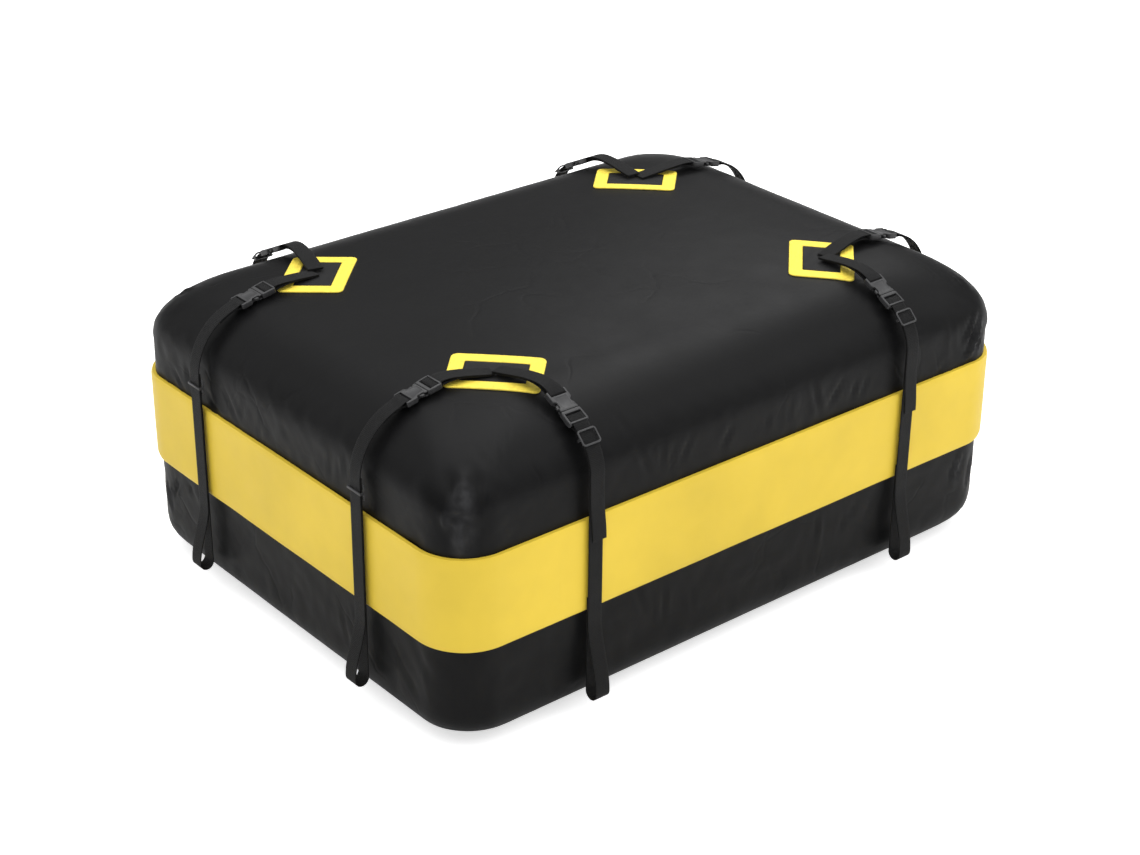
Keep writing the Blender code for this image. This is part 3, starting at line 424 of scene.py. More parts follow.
def ripple(tree, value):
    """Rounded ridges, one for each whole step of the value."""
    wave = math_node(tree, "SINE", math_node(tree, "MULTIPLY", value, math.pi))
    return math_node(tree, "ABSOLUTE", wave)


def scrim_group():
    """The faint grid of yarns under a smooth coating, seen from whichever way the cloth faces."""
    group, entry, leave = new_group(
        "coated_scrim",
        (("Vector", "NodeSocketVector", None), ("Threads per metre", "NodeSocketFloat", 900.0)),
        (("Height", "NodeSocketFloat"),),
    )
    split = group.nodes.new("ShaderNodeSeparateXYZ")
    group.links.new(entry.outputs["Vector"], split.inputs[0])
    total = 0.0
    for axis in "XYZ":
        threads = math_node(group, "MULTIPLY", split.outputs[axis], entry.outputs["Threads per metre"])
        total = math_node(group, "ADD", total, ripple(group, threads))
    group.links.new(math_node(group, "MULTIPLY", total, 1 / 3), leave.inputs["Height"])
    return group


def creasing_group():
    """Fine sharp creases in a coated cloth that has been folded."""
    group, entry, leave = new_group(
        "fold_creases",
        (("Vector", "NodeSocketVector", None), ("Scale", "NodeSocketFloat", 9.0)),
        (("Height", "NodeSocketFloat"),),
    )
    warp = group.nodes.new("ShaderNodeTexNoise")
    warp.inputs["Scale"].default_value = 6.0
    warp.inputs["Detail"].default_value = 3.0
    group.links.new(entry.outputs["Vector"], warp.inputs["Vector"])
    bent = vector_node(group, "MULTIPLY_ADD", warp.outputs["Color"], (0.16, 0.16, 0.16))
    group.links.new(entry.outputs["Vector"], bent.inputs[2])
    cells = group.nodes.new("ShaderNodeTexVoronoi")
    cells.feature = "DISTANCE_TO_EDGE"
    group.links.new(bent.outputs[0], cells.inputs["Vector"])
    group.links.new(entry.outputs["Scale"], cells.inputs["Scale"])
    line = range_node(group, cells.outputs["Distance"], 0.0, 0.05, 1.0, 0.0)
    patchy = noise_node(group, entry.outputs["Vector"], 7.0)
    kept = range_node(group, patchy, 0.48, 0.66, 0.0, 1.0)
    mask = math_node(group, "MULTIPLY", line, kept)
    group.links.new(math_node(group, "SUBTRACT", 1.0, mask), leave.inputs["Height"])
    return group


def cloudy_group():
    """Large soft differences in tone, as a multiplier round one."""
    group, entry, leave = new_group(
        "cloudy_tone",
        (
            ("Vector", "NodeSocketVector", None),
            ("Scale", "NodeSocketFloat", 5.0),
            ("Darkest", "NodeSocketFloat", 0.9),
            ("Lightest", "NodeSocketFloat", 1.1),
        ),
        (("Tone", "NodeSocketFloat"),),
    )
    field = noise_node(group, entry.outputs["Vector"], entry.outputs["Scale"], 4.0, 0.55)
    tone = range_node(group, field, 0.3, 0.7, entry.outputs["Darkest"], entry.outputs["Lightest"])
    group.links.new(tone, leave.inputs["Tone"])
    return group


def webbing_group():
    """Herringbone of woven webbing: cords along its length, each a row of slanting floats.

    The vector is the strap's own UV map, in metres: across, then along.
    """
    group, entry, leave = new_group(
        "woven_webbing",
        (
            ("Vector", "NodeSocketVector", None),
            ("Cords per metre", "NodeSocketFloat", 640.0),
            ("Floats per metre", "NodeSocketFloat", 420.0),
        ),
        (("Height", "NodeSocketFloat"), ("Shade", "NodeSocketFloat")),
    )
    split = group.nodes.new("ShaderNodeSeparateXYZ")
    group.links.new(entry.outputs["Vector"], split.inputs[0])
    across = math_node(group, "MULTIPLY", split.outputs["X"], entry.outputs["Cords per metre"])
    along = math_node(group, "MULTIPLY", split.outputs["Y"], entry.outputs["Floats per metre"])
    slant = math_node(group, "PINGPONG", across, 1.0)
    drift = math_node(group, "ADD", along, math_node(group, "MULTIPLY", slant, 0.5))
    floats = math_node(group, "MULTIPLY_ADD", ripple(group, drift), 0.6, 0.4)
    height = math_node(group, "MULTIPLY", ripple(group, across), floats)
    group.links.new(height, leave.inputs["Height"])
    # Shade is painted shade in the grooves between cords and painted highlight on their tops
    group.links.new(range_node(group, height, 0.0, 1.0, 0.55, 1.25), leave.inputs["Shade"])
    return group


def moulding_group():
    """Spark-eroded grain of moulded plastic, with a slow unevenness under it."""
    group, entry, leave = new_group(
        "moulded_grain",
        (("Vector", "NodeSocketVector", None), ("Grain scale", "NodeSocketFloat", 2600.0)),
        (("Height", "NodeSocketFloat"), ("Tone", "NodeSocketFloat")),
    )
    grain = noise_node(group, entry.outputs["Vector"], entry.outputs["Grain scale"], 2.0)
    slow = noise_node(group, entry.outputs["Vector"], 130.0, 2.0)
    height = math_node(group, "ADD", grain, math_node(group, "MULTIPLY", slow, 0.5))
    group.links.new(height, leave.inputs["Height"])
    group.links.new(range_node(group, slow, 0.3, 0.7, 0.88, 1.12), leave.inputs["Tone"])
    return group


# Materials


# Spots where the tarpaulin's colour is lightened as painted highlights on crumpled folds: middle, reach
# and gain in tone
PAINTED_HIGHLIGHT_SPOTS = (
    ((-0.510, -0.383, 0.366), (0.021, 0.021, 0.082), 3.2),
    ((-0.506, -0.381, 0.399), (0.015, 0.015, 0.021), 3.6),
    ((-0.519, -0.386, 0.334), (0.012, 0.012, 0.034), 2.6),
    ((-0.530, -0.372, 0.366), (0.008, 0.008, 0.015), 2.4),
    ((0.476, -0.404, 0.352), (0.016, 0.012, 0.036), 3.0),
    ((0.460, -0.405, 0.125), (0.012, 0.010, 0.034), 2.5),
    ((0.500, -0.399, 0.105), (0.012, 0.012, 0.040), 3.0),
    ((-0.541, 0.341, 0.096), (0.010, 0.015, 0.040), 3.0),
)


class Finish:
    """One material while it is being wired."""

    def __init__(self, name, base, roughness, **fixed):
        self.made = bpy.data.materials.new(name)
        self.made.use_nodes = True
        self.tree = self.made.node_tree
        self.shader = self.tree.nodes["Principled BSDF"]
        self.base = tuple(base)
        self.shader.inputs["Base Color"].default_value = (*base, 1.0)
        self.shader.inputs["Roughness"].default_value = roughness
        for label, value in fixed.items():
            self.shader.inputs[label.replace("_", " ")].default_value = value
        self.coordinates = self.tree.nodes.new("ShaderNodeTexCoord")

    def place(self):
        return self.coordinates.outputs["Object"]

    def own_map(self):
        return self.coordinates.outputs["UV"]

    def group(self, group, vector, **values):
        node = self.tree.nodes.new("ShaderNodeGroup")
        node.node_tree = GROUPS[group]
        self.tree.links.new(vector, node.inputs["Vector"])
        for label, value in values.items():
            node.inputs[label.replace("_", " ")].default_value = value
        return node.outputs

    def tint(self, *tones):
        """Multiplies the base colour by each tone."""
        total = tones[0]
        for tone in tones[1:]:
            total = math_node(self.tree, "MULTIPLY", total, tone)
        scaled = self.tree.nodes.new("ShaderNodeVectorMath")
        scaled.operation = "SCALE"
        scaled.inputs[0].default_value = self.base
        self.tree.links.new(total, scaled.inputs["Scale"])
        self.tree.links.new(scaled.outputs[0], self.shader.inputs["Base Color"])

    def glow(self, strength):
        """Light that only the camera sees, as a lit studio sweep has it."""
        ways = self.tree.nodes.new("ShaderNodeLightPath")
        seen = math_node(self.tree, "MULTIPLY", ways.outputs["Is Camera Ray"], strength)
        self.tree.links.new(seen, self.shader.inputs["Emission Strength"])

    def paint_highlights(self, place):
        """How much the base colour is lightened at the listed spots: painted highlights on crumpled
        folds.
        """
        tree = self.tree
        patchy = range_node(tree, noise_node(tree, place, 48.0, 2.0), 0.36, 0.62, 0.35, 1.0)
        total = 1.0
        for middle, reach, gain in PAINTED_HIGHLIGHT_SPOTS:
            away = vector_node(tree, "SUBTRACT", place, middle).outputs[0]
            shares = vector_node(tree, "DIVIDE", away, reach).outputs[0]
            distance = vector_node(tree, "LENGTH", shares).outputs["Value"]
            near = range_node(tree, distance, 0.35, 1.2, gain, 0.0)
            total = math_node(tree, "ADD", math_node(tree, "MULTIPLY", near, patchy), total)
        return total

    def roughness(self, value, low, high):
        result = range_node(self.tree, value, 0.0, 1.0, low, high)
        self.tree.links.new(result, self.shader.inputs["Roughness"])

    def bumps(self, *layers):
        """Stacks bump layers, each (height, strength, distance)."""
        normal = None
        for height, strength, distance in layers:
            bump = self.tree.nodes.new("ShaderNodeBump")
            bump.inputs["Strength"].default_value = strength
            bump.inputs["Distance"].default_value = distance
            self.tree.links.new(height, bump.inputs["Height"])
            if normal is not None:
                self.tree.links.new(normal, bump.inputs["Normal"])
            normal = bump.outputs["Normal"]
        self.tree.links.new(normal, self.shader.inputs["Normal"])


def coated_cloth(name, base, roughness, crease_depth, painted_highlights=False, **fixed):
    """Tarpaulin: smooth coating over a scrim, soft tone, fine folds, and where asked painted highlights
    in its colour.
    """
    cloth = Finish(name, base, roughness, **fixed)
    place = cloth.place()
    scrim = cloth.group("scrim", place)["Height"]
    creases = cloth.group("creases", place)["Height"]
    tone = cloth.group("cloudy", place, Scale=4.0, Darkest=0.90, Lightest=1.10)["Tone"]
    # Where asked, the colour is lightened at the listed spots: painted highlights, not a change of the
    # coating
    cloth.tint(tone, cloth.paint_highlights(place) if painted_highlights else 1.0)
    uneven = noise_node(cloth.tree, place, 14.0, 4.0)
    cloth.roughness(uneven, roughness - 0.07, roughness + 0.07)
    crinkle = noise_node(cloth.tree, place, 26.0, 3.0, 0.6)
    cloth.bumps((crinkle, 0.10, 0.004), (creases, 0.25, crease_depth), (scrim, 0.10, 0.0002))
    return cloth.made


def rubber_finish(name, base, roughness):
    rubber = Finish(name, base, roughness, Specular_IOR_Level=0.3)
    grain = rubber.group("moulding", rubber.place(), Grain_scale=1500.0)
    rubber.tint(grain["Tone"])
    rubber.roughness(grain["Tone"], roughness - 0.2, roughness + 0.2)
    rubber.bumps((grain["Height"], 0.12, 0.0003))
    return rubber.made


def plastic_finish(name, base, roughness):
    plastic = Finish(name, base, roughness, Specular_IOR_Level=0.35)
    grain = plastic.group("moulding", plastic.place())
    plastic.tint(grain["Tone"])
    uneven = noise_node(plastic.tree, plastic.place(), 210.0, 3.0)
    plastic.roughness(uneven, roughness - 0.08, roughness + 0.10)
    plastic.bumps((grain["Height"], 0.18, 0.00015))
    return plastic.made


def webbing_finish(name, base, roughness):
    web = Finish(name, base, roughness, Sheen_Weight=0.05, Sheen_Roughness=0.4, Specular_IOR_Level=0.15)
    weave = web.group("webbing", web.own_map())
    tone = web.group("cloudy", web.place(), Scale=40.0, Darkest=0.85, Lightest=1.15)["Tone"]
    # The weave's shade paints darker grooves and lighter cord tops; the tone varies at random
    web.tint(weave["Shade"], tone)
    web.roughness(weave["Height"], roughness + 0.1, roughness - 0.12)
    web.bumps((weave["Height"], 0.8, 0.0006))
    return web.made


def canvas_finish(name, base, roughness, threads):
    """Plain woven cloth, seen close."""
    canvas = Finish(name, base, roughness, Sheen_Weight=0.03, Specular_IOR_Level=0.15)
    scrim = canvas.group("scrim", canvas.place(), Threads_per_metre=threads)["Height"]
    tone = canvas.group("cloudy", canvas.place(), Scale=30.0, Darkest=0.9, Lightest=1.1)["Tone"]
    canvas.tint(tone)
    canvas.roughness(scrim, roughness + 0.08, roughness - 0.08)
    canvas.bumps((scrim, 0.35, 0.0004))
    return canvas.made


def metal_finish(name, base, roughness):
    metal = Finish(name, base, roughness, Metallic=1.0)
    rubbed = noise_node(metal.tree, metal.place(), 900.0, 3.0)
    tone = metal.group("cloudy", metal.place(), Scale=260.0, Darkest=0.8, Lightest=1.2)["Tone"]
    metal.tint(tone)
    metal.roughness(rubbed, roughness - 0.08, roughness + 0.12)
    metal.bumps((rubbed, 0.1, 0.0001))
    return metal.made


GROUPS = {}
FINISHES = {}


class CARRIER_OT_finishes(Operator):
    """Make the shared node groups and every material"""

    bl_idname = "carrier.finishes"
    bl_label = "Finishes"

    def execute(self, context):
        colours = settings("finish")
        GROUPS.update(
            scrim=scrim_group(),
            creases=creasing_group(),
            cloudy=cloudy_group(),
            webbing=webbing_group(),
            moulding=moulding_group(),
        )
        FINISHES.update(
            tarpaulin=coated_cloth(
                "tarpaulin_cloth",
                colours.tarpaulin,
                roughness=0.42,
                crease_depth=0.0012,
                # Painted highlights: the colour is lightened at the crumpled folds
                painted_highlights=True,
                Specular_IOR_Level=0.11,
            ),
            band=coated_cloth(
                "band_fabric",
                colours.band,
                roughness=0.46,
                crease_depth=0.0010,
                Specular_IOR_Level=0.25,
            ),
            rubber=rubber_finish("patch_rubber", colours.rubber, roughness=0.42),
            pad=canvas_finish("pad_fabric", colours.pad, roughness=0.62, threads=1400.0),
            webbing=webbing_finish("webbing_weave", colours.webbing, roughness=0.68),
            plastic=plastic_finish("moulded_plastic", colours.plastic, roughness=0.38),
            tape=canvas_finish("zip_tape", colours.webbing, roughness=0.66, threads=1800.0),
            metal=metal_finish("painted_zip", colours.metal, roughness=0.36),
        )
        return {"FINISHED"}


# Bag surfaces

# Ways in which crumpled facets run
FACET_WAYS = ((0.62, 0.62, 0.48), (-0.55, 0.55, 0.63), (0.30, -0.45, 0.84), (0.66, -0.70, -0.27))

# Folds that the photo shows: from, to, half width and depth, which is below zero for a ridge.
# Each is set once more on the far side of the bag, turned half round.
FOLDS = (
    ((-0.511, -0.363, 0.410), (-0.525, -0.378, 0.347), 0.0055, 0.0052),
    ((-0.490, -0.361, 0.421), (-0.514, -0.387, 0.377), 0.0120, -0.0078),
    ((-0.528, -0.372, 0.377), (-0.497, -0.399, 0.363), 0.0060, 0.0052),
    ((-0.517, -0.384, 0.360), (-0.517, -0.387, 0.315), 0.0090, -0.0046),
    ((-0.532, -0.366, 0.377), (-0.528, -0.377, 0.345), 0.0055, -0.0025),
    ((-0.458, -0.345, 0.437), (-0.461, -0.373, 0.424), 0.0055, 0.0018),
    ((-0.431, -0.346, 0.442), (-0.450, -0.388, 0.412), 0.0055, -0.0014),
    ((-0.477, -0.380, 0.415), (-0.497, -0.398, 0.373), 0.0055, 0.0030),
    ((-0.452, -0.405, 0.324), (-0.437, -0.405, 0.330), 0.0055, 0.0017),
    ((-0.239, -0.366, 0.434), (-0.232, -0.393, 0.406), 0.0055, 0.0017),
    ((-0.223, -0.403, 0.382), (-0.201, -0.405, 0.338), 0.0055, 0.0021),
    ((-0.178, -0.402, 0.385), (-0.179, -0.405, 0.340), 0.0055, 0.0017),
    ((-0.122, -0.403, 0.380), (-0.145, -0.405, 0.335), 0.0055, 0.0018),
    ((-0.155, -0.405, 0.373), (-0.166, -0.405, 0.337), 0.0055, 0.0014),
    ((-0.045, -0.405, 0.368), (-0.066, -0.405, 0.331), 0.0060, 0.0016),
    ((0.114, -0.403, 0.386), (0.133, -0.405, 0.323), 0.0055, 0.0025),
    ((0.183, -0.404, 0.375), (0.146, -0.404, 0.327), 0.0055, 0.0021),
    ((0.207, -0.404, 0.358), (0.197, -0.404, 0.328), 0.0055, 0.0021),
    ((0.232, -0.405, 0.361), (0.218, -0.404, 0.325), 0.0055, 0.0016),
    ((0.028, -0.405, 0.362), (0.018, -0.405, 0.333), 0.0055, 0.0011),
    ((0.072, -0.405, 0.371), (0.064, -0.406, 0.331), 0.0055, 0.0014),
    ((0.379, -0.405, 0.299), (0.410, -0.406, 0.331), 0.0055, 0.0018),
    ((0.479, -0.395, 0.396), (0.448, -0.406, 0.345), 0.0060, -0.0042),
    ((0.487, -0.401, 0.372), (0.464, -0.408, 0.329), 0.0060, -0.0042),
    ((0.482, -0.399, 0.386), (0.456, -0.408, 0.338), 0.0055, 0.0023),
    ((0.491, -0.403, 0.343), (0.478, -0.407, 0.325), 0.0055, -0.0034),
    ((0.471, -0.406, 0.331), (0.448, -0.407, 0.318), 0.0060, -0.0042),
    ((0.417, -0.397, 0.397), (0.419, -0.403, 0.344), 0.0055, 0.0023),
    ((0.476, -0.342, 0.434), (0.468, -0.373, 0.421), 0.0060, -0.0023),
    ((0.489, -0.348, 0.427), (0.474, -0.379, 0.415), 0.0055, 0.0017),
    ((0.316, -0.397, 0.398), (0.363, -0.394, 0.404), 0.0060, 0.0016),
    ((-0.226, -0.405, 0.166), (-0.201, -0.405, 0.114), 0.0055, 0.0017),
    ((-0.167, -0.404, 0.140), (-0.170, -0.406, 0.085), 0.0055, 0.0021),
    ((-0.137, -0.405, 0.149), (-0.097, -0.406, 0.101), 0.0055, 0.0014),
    ((-0.117, -0.406, 0.115), (-0.108, -0.406, 0.078), 0.0055, 0.0014),
    ((-0.042, -0.406, 0.107), (0.140, -0.406, 0.100), 0.0055, -0.0013),
    ((0.151, -0.406, 0.154), (0.147, -0.406, 0.096), 0.0055, -0.0021),
    ((0.202, -0.406, 0.132), (0.190, -0.406, 0.105), 0.0055, 0.0021),
    ((0.230, -0.406, 0.144), (0.203, -0.406, 0.121), 0.0055, 0.0021),
    ((0.262, -0.405, 0.132), (0.247, -0.406, 0.109), 0.0055, 0.0014),
    ((-0.289, -0.405, 0.158), (-0.255, -0.405, 0.118), 0.0055, 0.0014),
    ((0.342, -0.405, 0.136), (0.455, -0.404, 0.126), 0.0055, 0.0018),
    ((0.467, -0.405, 0.152), (0.447, -0.405, 0.104), 0.0055, -0.0037),
    ((0.503, -0.398, 0.137), (0.494, -0.401, 0.075), 0.0055, -0.0034),
    ((0.448, -0.405, 0.096), (0.471, -0.406, 0.111), 0.0055, -0.0023),
    ((0.381, -0.405, 0.094), (0.436, -0.405, 0.104), 0.0055, 0.0016),
    ((-0.543, 0.170, 0.062), (-0.543, 0.122, 0.060), 0.0080, 0.0011),
    ((-0.542, 0.002, 0.126), (-0.542, -0.044, 0.113), 0.0060, -0.0014),
    ((-0.544, 0.294, 0.149), (-0.541, 0.341, 0.096), 0.0055, 0.0029),
    ((-0.538, 0.355, 0.125), (-0.543, 0.336, 0.073), 0.0055, -0.0030),
    ((-0.544, 0.288, 0.155), (-0.543, 0.253, 0.131), 0.0055, 0.0023),
    ((-0.542, -0.134, 0.132), (-0.542, -0.153, 0.061), 0.0055, 0.0016),
    ((-0.542, -0.237, 0.139), (-0.542, -0.324, 0.065), 0.0060, 0.0018),
    ((-0.542, -0.289, 0.184), (-0.538, -0.358, 0.097), 0.0100, 0.0014),
    ((-0.542, -0.163, 0.149), (-0.543, -0.185, 0.094), 0.0055, 0.0014),
    ((-0.543, 0.298, 0.343), (-0.545, 0.260, 0.308), 0.0055, 0.0023),
    ((-0.543, 0.256, 0.365), (-0.544, 0.246, 0.320), 0.0055, 0.0017),
    ((-0.543, 0.199, 0.337), (-0.544, 0.160, 0.303), 0.0055, 0.0017),
    ((-0.543, 0.154, 0.366), (-0.544, 0.109, 0.314), 0.0060, 0.0015),
    ((-0.543, 0.089, 0.370), (-0.544, 0.112, 0.319), 0.0060, 0.0011),
    ((-0.543, -0.127, 0.371), (-0.542, -0.122, 0.319), 0.0055, 0.0014),
    ((-0.541, -0.164, 0.380), (-0.542, -0.157, 0.340), 0.0055, 0.0014),
    ((-0.543, 0.048, 0.351), (-0.544, 0.062, 0.313), 0.0055, 0.0010),
)


# Where the crown starts to level out and where it is level, as shares of the way to the shoulder
CROWN_EASE = (0.90, 1.08)


def lid_height(inset):
    """Height of the lid's outer face where it lies inset from the wall, for arrays or numbers."""
    bag = settings("bag")
    inset = np.asarray(inset, float)
    run = 1 - np.minimum(inset / bag.shoulder_reach, 1.0)
    arc = np.sqrt(np.maximum(0, 1 - run**2))
    shoulder = bag.shoulder_top - bag.shoulder_drop + bag.shoulder_drop * arc
    left = (bag.half_width - inset) / (bag.half_width - bag.shoulder_reach)
    knee, soft_end = CROWN_EASE
    share = np.clip((left - knee) / (soft_end - knee), 0, 1)
    start, slope = 1 - knee**2, -2 * knee * (soft_end - knee)
    levelled, _ = hermite(start, slope, 0.0, 0.0, share)
    crown = np.where(left < knee, 1 - left**2, levelled)
    return shoulder + bag.crown_rise * crown


def lid_inset(x, y):
    """How far inside the wall's outline a point lies, by halving."""
    bag = settings("bag")
    low, high = 0.0, bag.half_width - bag.corner_radius
    for _ in range(40):
        inset = (low + high) / 2
        radius = min(bag.corner_radius + bag.corner_growth * inset, bag.half_width - inset)
        over_x = abs(x) - (bag.half_length - inset - radius)
        over_y = abs(y) - (bag.half_width - inset - radius)
        outside = math.hypot(max(over_x, 0), max(over_y, 0)) + min(max(over_x, over_y), 0) - radius
        if outside < 0:
            low = inset
        else:
            high = inset
    return low


def round_ring(x, y, inset, outwards):
    """Moves points from the sharp rectangle at an inset to the bag's rounded outline there."""
    bag = settings("bag")
    half_x = bag.half_length - inset + outwards
    half_y = bag.half_width - inset + outwards
    radius = np.minimum(bag.corner_radius + bag.corner_growth * inset + outwards, half_y)
    across_x = half_x - np.abs(x) <= half_y - np.abs(y)
    over = np.where(across_x, np.abs(y) - (half_y - radius), np.abs(x) - (half_x - radius))
    angle = math.pi / 4 * np.clip(over / np.maximum(radius, 1e-9), 0, 1)
    near = radius * (1 - np.cos(angle))
    far = radius * np.sin(angle) - radius
    ring_x = np.where(across_x, half_x - near, np.where(over > 0, half_x + far, np.abs(x)))
    ring_y = np.where(across_x, np.where(over > 0, half_y + far, np.abs(y)), half_y - near)
    return np.copysign(ring_x, x), np.copysign(ring_y, y)


def divided_box(name, cells):
    """A cube two units wide whose edges are divided into an even number of cells along X, Y and Z."""
    deselect()
    bpy.ops.mesh.primitive_cube_add(size=2)
    box = started(name)
    bpy.ops.object.mode_set(mode="EDIT")
    bpy.ops.mesh.select_mode(type="EDGE")
    for axis, count in enumerate(cells):
        for cuts in (count // 2 - 1, 1):
            bm = bmesh.from_edit_mesh(box.data)
            for edge in bm.edges:
                run = edge.verts[1].co - edge.verts[0].co
                edge.select_set(abs(run[axis]) > 1e-4)
            bmesh.update_edit_mesh(box.data)
            if cuts:
                bpy.ops.mesh.subdivide(number_cuts=cuts)
    bpy.ops.object.mode_set(mode="OBJECT")
    return box


def delete_faces(obj, chosen):
    """Deletes the faces for which chosen(face) holds."""
    activate(obj)
    bpy.ops.object.mode_set(mode="EDIT")
    bpy.ops.mesh.select_mode(type="FACE")
    bm = bmesh.from_edit_mesh(obj.data)
    for face in bm.faces:
        face.select_set(chosen(face))
    bmesh.update_edit_mesh(obj.data)
    bpy.ops.mesh.delete(type="FACE")
    bpy.ops.object.mode_set(mode="OBJECT")


def shell_points(cube, inset_of, height_of, cap_inset, cap_height, cap_side):
    """Maps a divided cube to the bag: its sides follow a wall's rows, its cap the surface inside them.

    cap_side is 1 where the cap is on top and -1 where it is below.
    """
    bag = settings("bag")
    side = np.abs(cube[:, 2]) < 1 - 1e-6
    row = (1 - cube[:, 2]) / 2
    inset = inset_of(row)
    half_x = bag.half_length - inset
    half_y = bag.half_width - inset
    x, y = cube[:, 0] * half_x, cube[:, 1] * half_y
    z = height_of(row)
    cap = ~side & (np.maximum(np.abs(cube[:, 0]), np.abs(cube[:, 1])) < 1 - 1e-6)
    cap &= cube[:, 2] * cap_side > 0
    deeper = np.minimum(half_x - np.abs(x), half_y - np.abs(y))
    inset = np.where(cap, cap_inset + deeper, inset)
    z = np.where(cap, cap_height(inset), z)
    ring_x, ring_y = round_ring(x, y, inset, 0.0)
    return np.column_stack((ring_x, ring_y, z))


def corner_distance(points):
    """Distance along the ground from the nearest vertical corner."""
    bag = settings("bag")
    inner_x = bag.half_length - bag.corner_radius * 0.3
    inner_y = bag.half_width - bag.corner_radius * 0.3
    return np.hypot(np.abs(points[:, 0]) - inner_x, np.abs(points[:, 1]) - inner_y)


def patch_distance(points):
    """Distance along the ground from the nearest patch's middle."""
    found = np.full(len(points), np.inf)
    for corner in CORNERS:
        x, y = patch_centre(corner)
        found = np.minimum(found, np.hypot(points[:, 0] - x, points[:, 1] - y))
    return found


def eased(values, low, high):
    """Zero below low, one above high, smooth between them."""
    share = np.clip((values - low) / (high - low), 0, 1)
    return share * share * (3 - 2 * share)


# Sizes of the noise behind the wrinkles, along X, Y and Z
SWAY_WAVE = (0.22, 0.22, 0.16)
PLEAT_WAVE = (0.042, 0.042, 0.30)
PLEATED_WAVE = (0.16, 0.16, 0.5)
CREASE_WAVE = (0.060, 0.060, 0.15)
CREASED_WAVE = (0.13, 0.13, 0.13)
BROAD_WAVE = (0.17, 0.17, 0.12)
SWAY = (0.035, 0.035, 0.0)
CREASE_LEAN = (0.35, -0.35, 0)
CRUMPLE_REACH = 0.080
FACET_SIZES = (0.040, 0.023)


def facets(points, size, seed):
    """Flat facets with sharp edges between them, as in crumpled cloth, from -1 to 1."""
    total = np.zeros(len(points))
    warp = noise_at(points, (3 * size,) * 3, seed)
    for k, way in enumerate(FACET_WAYS):
        travel = points @ np.array(way) / (size * (1 + 0.35 * k)) + 0.37 * k + seed + 0.8 * warp
        total += np.abs(2 * (travel - np.floor(travel)) - 1) * 2 - 1
    return total / len(FACET_WAYS)


def fold(points, start, end, width, depth):
    """Depth of one placed fold: a trough between two low ridges that fades out at its ends."""
    start, end = np.array(start), np.array(end)
    run = end - start
    along = (points - start) @ run / (run @ run)
    fade = np.sin(math.pi * np.clip(along, 0, 1)) ** 0.7
    aside = np.linalg.norm(points - start - np.clip(along, 0, 1)[:, None] * run, axis=1) / width
    return depth * fade * (0.6 * np.exp(-2 * (aside - 1.5) ** 2) - np.exp(-1.4 * aside**2))


def wrinkle_depth(points, edge, fade, crumpled):
    """Height of a wall's wrinkles, outwards: pleats at the band's edge, creases, crumpled corners."""
    bag, cloth = settings("bag"), settings("cloth")
    swayed = points + np.outer(noise_at(points, SWAY_WAVE, 4), SWAY)
    wall = 1 - eased(points[:, 2], bag.shoulder_top - 0.070, bag.shoulder_top - 0.010)
    loose = np.exp(-np.abs(points[:, 2] - edge) / fade)
    here = eased(noise_at(points, PLEATED_WAVE, 2), -0.25, 0.35)
    pleats = 1 - 2 * np.abs(noise_at(swayed, PLEAT_WAVE, 1)) ** 0.8
    depth = cloth.pleats * pleats * here * loose
    lines = np.abs(noise_at(swayed + np.outer(points[:, 2], CREASE_LEAN), CREASE_WAVE, 6, 2))
    there = eased(noise_at(points, CREASED_WAVE, 7), -0.05, 0.35)
    depth += cloth.creases * np.exp(-((lines / 0.055) ** 2)) * there * wall
    depth += cloth.broad * noise_at(points, BROAD_WAVE, 3) * wall
    near = np.exp(-((corner_distance(points) / CRUMPLE_REACH) ** 2)) * wall
    rough = facets(points, FACET_SIZES[0], 5) + 0.5 * facets(points, FACET_SIZES[1], 8)
    depth += cloth.crumples * crumpled * rough * near * (0.4 + 0.6 * loose)
    turned = points * (-1, -1, 1)
    for start, end, width, deep in FOLDS:
        depth += fold(points, start, end, width, deep) + fold(turned, start, end, width, deep)
    return depth


def push_along_normals(obj, depth):
    """Moves each vertex along its normal by its depth."""
    normals = np.empty(len(obj.data.vertices) * 3, np.float32)
    obj.data.vertex_normals.foreach_get("vector", normals)
    place_vertices(obj, vertices(obj) + normals.reshape(-1, 3) * depth[:, None])


# Blender's cloth settings: light, stiff in its plane, soft in bending, and without weight
CLOTH_VALUES = {
    "quality": 6,
    "mass": 0.2,
    "tension_stiffness": 20.0,
    "compression_stiffness": 20.0,
    "shear_stiffness": 8.0,
    "bending_stiffness": 0.3,
    "vertex_group_mass": "held",
    "vertex_group_shrink": "taut",
    "shrink_max": 0.0,
}
SEED_WAVES = ((0.075, 0.075, 0.055), (0.03, 0.03, 0.05))


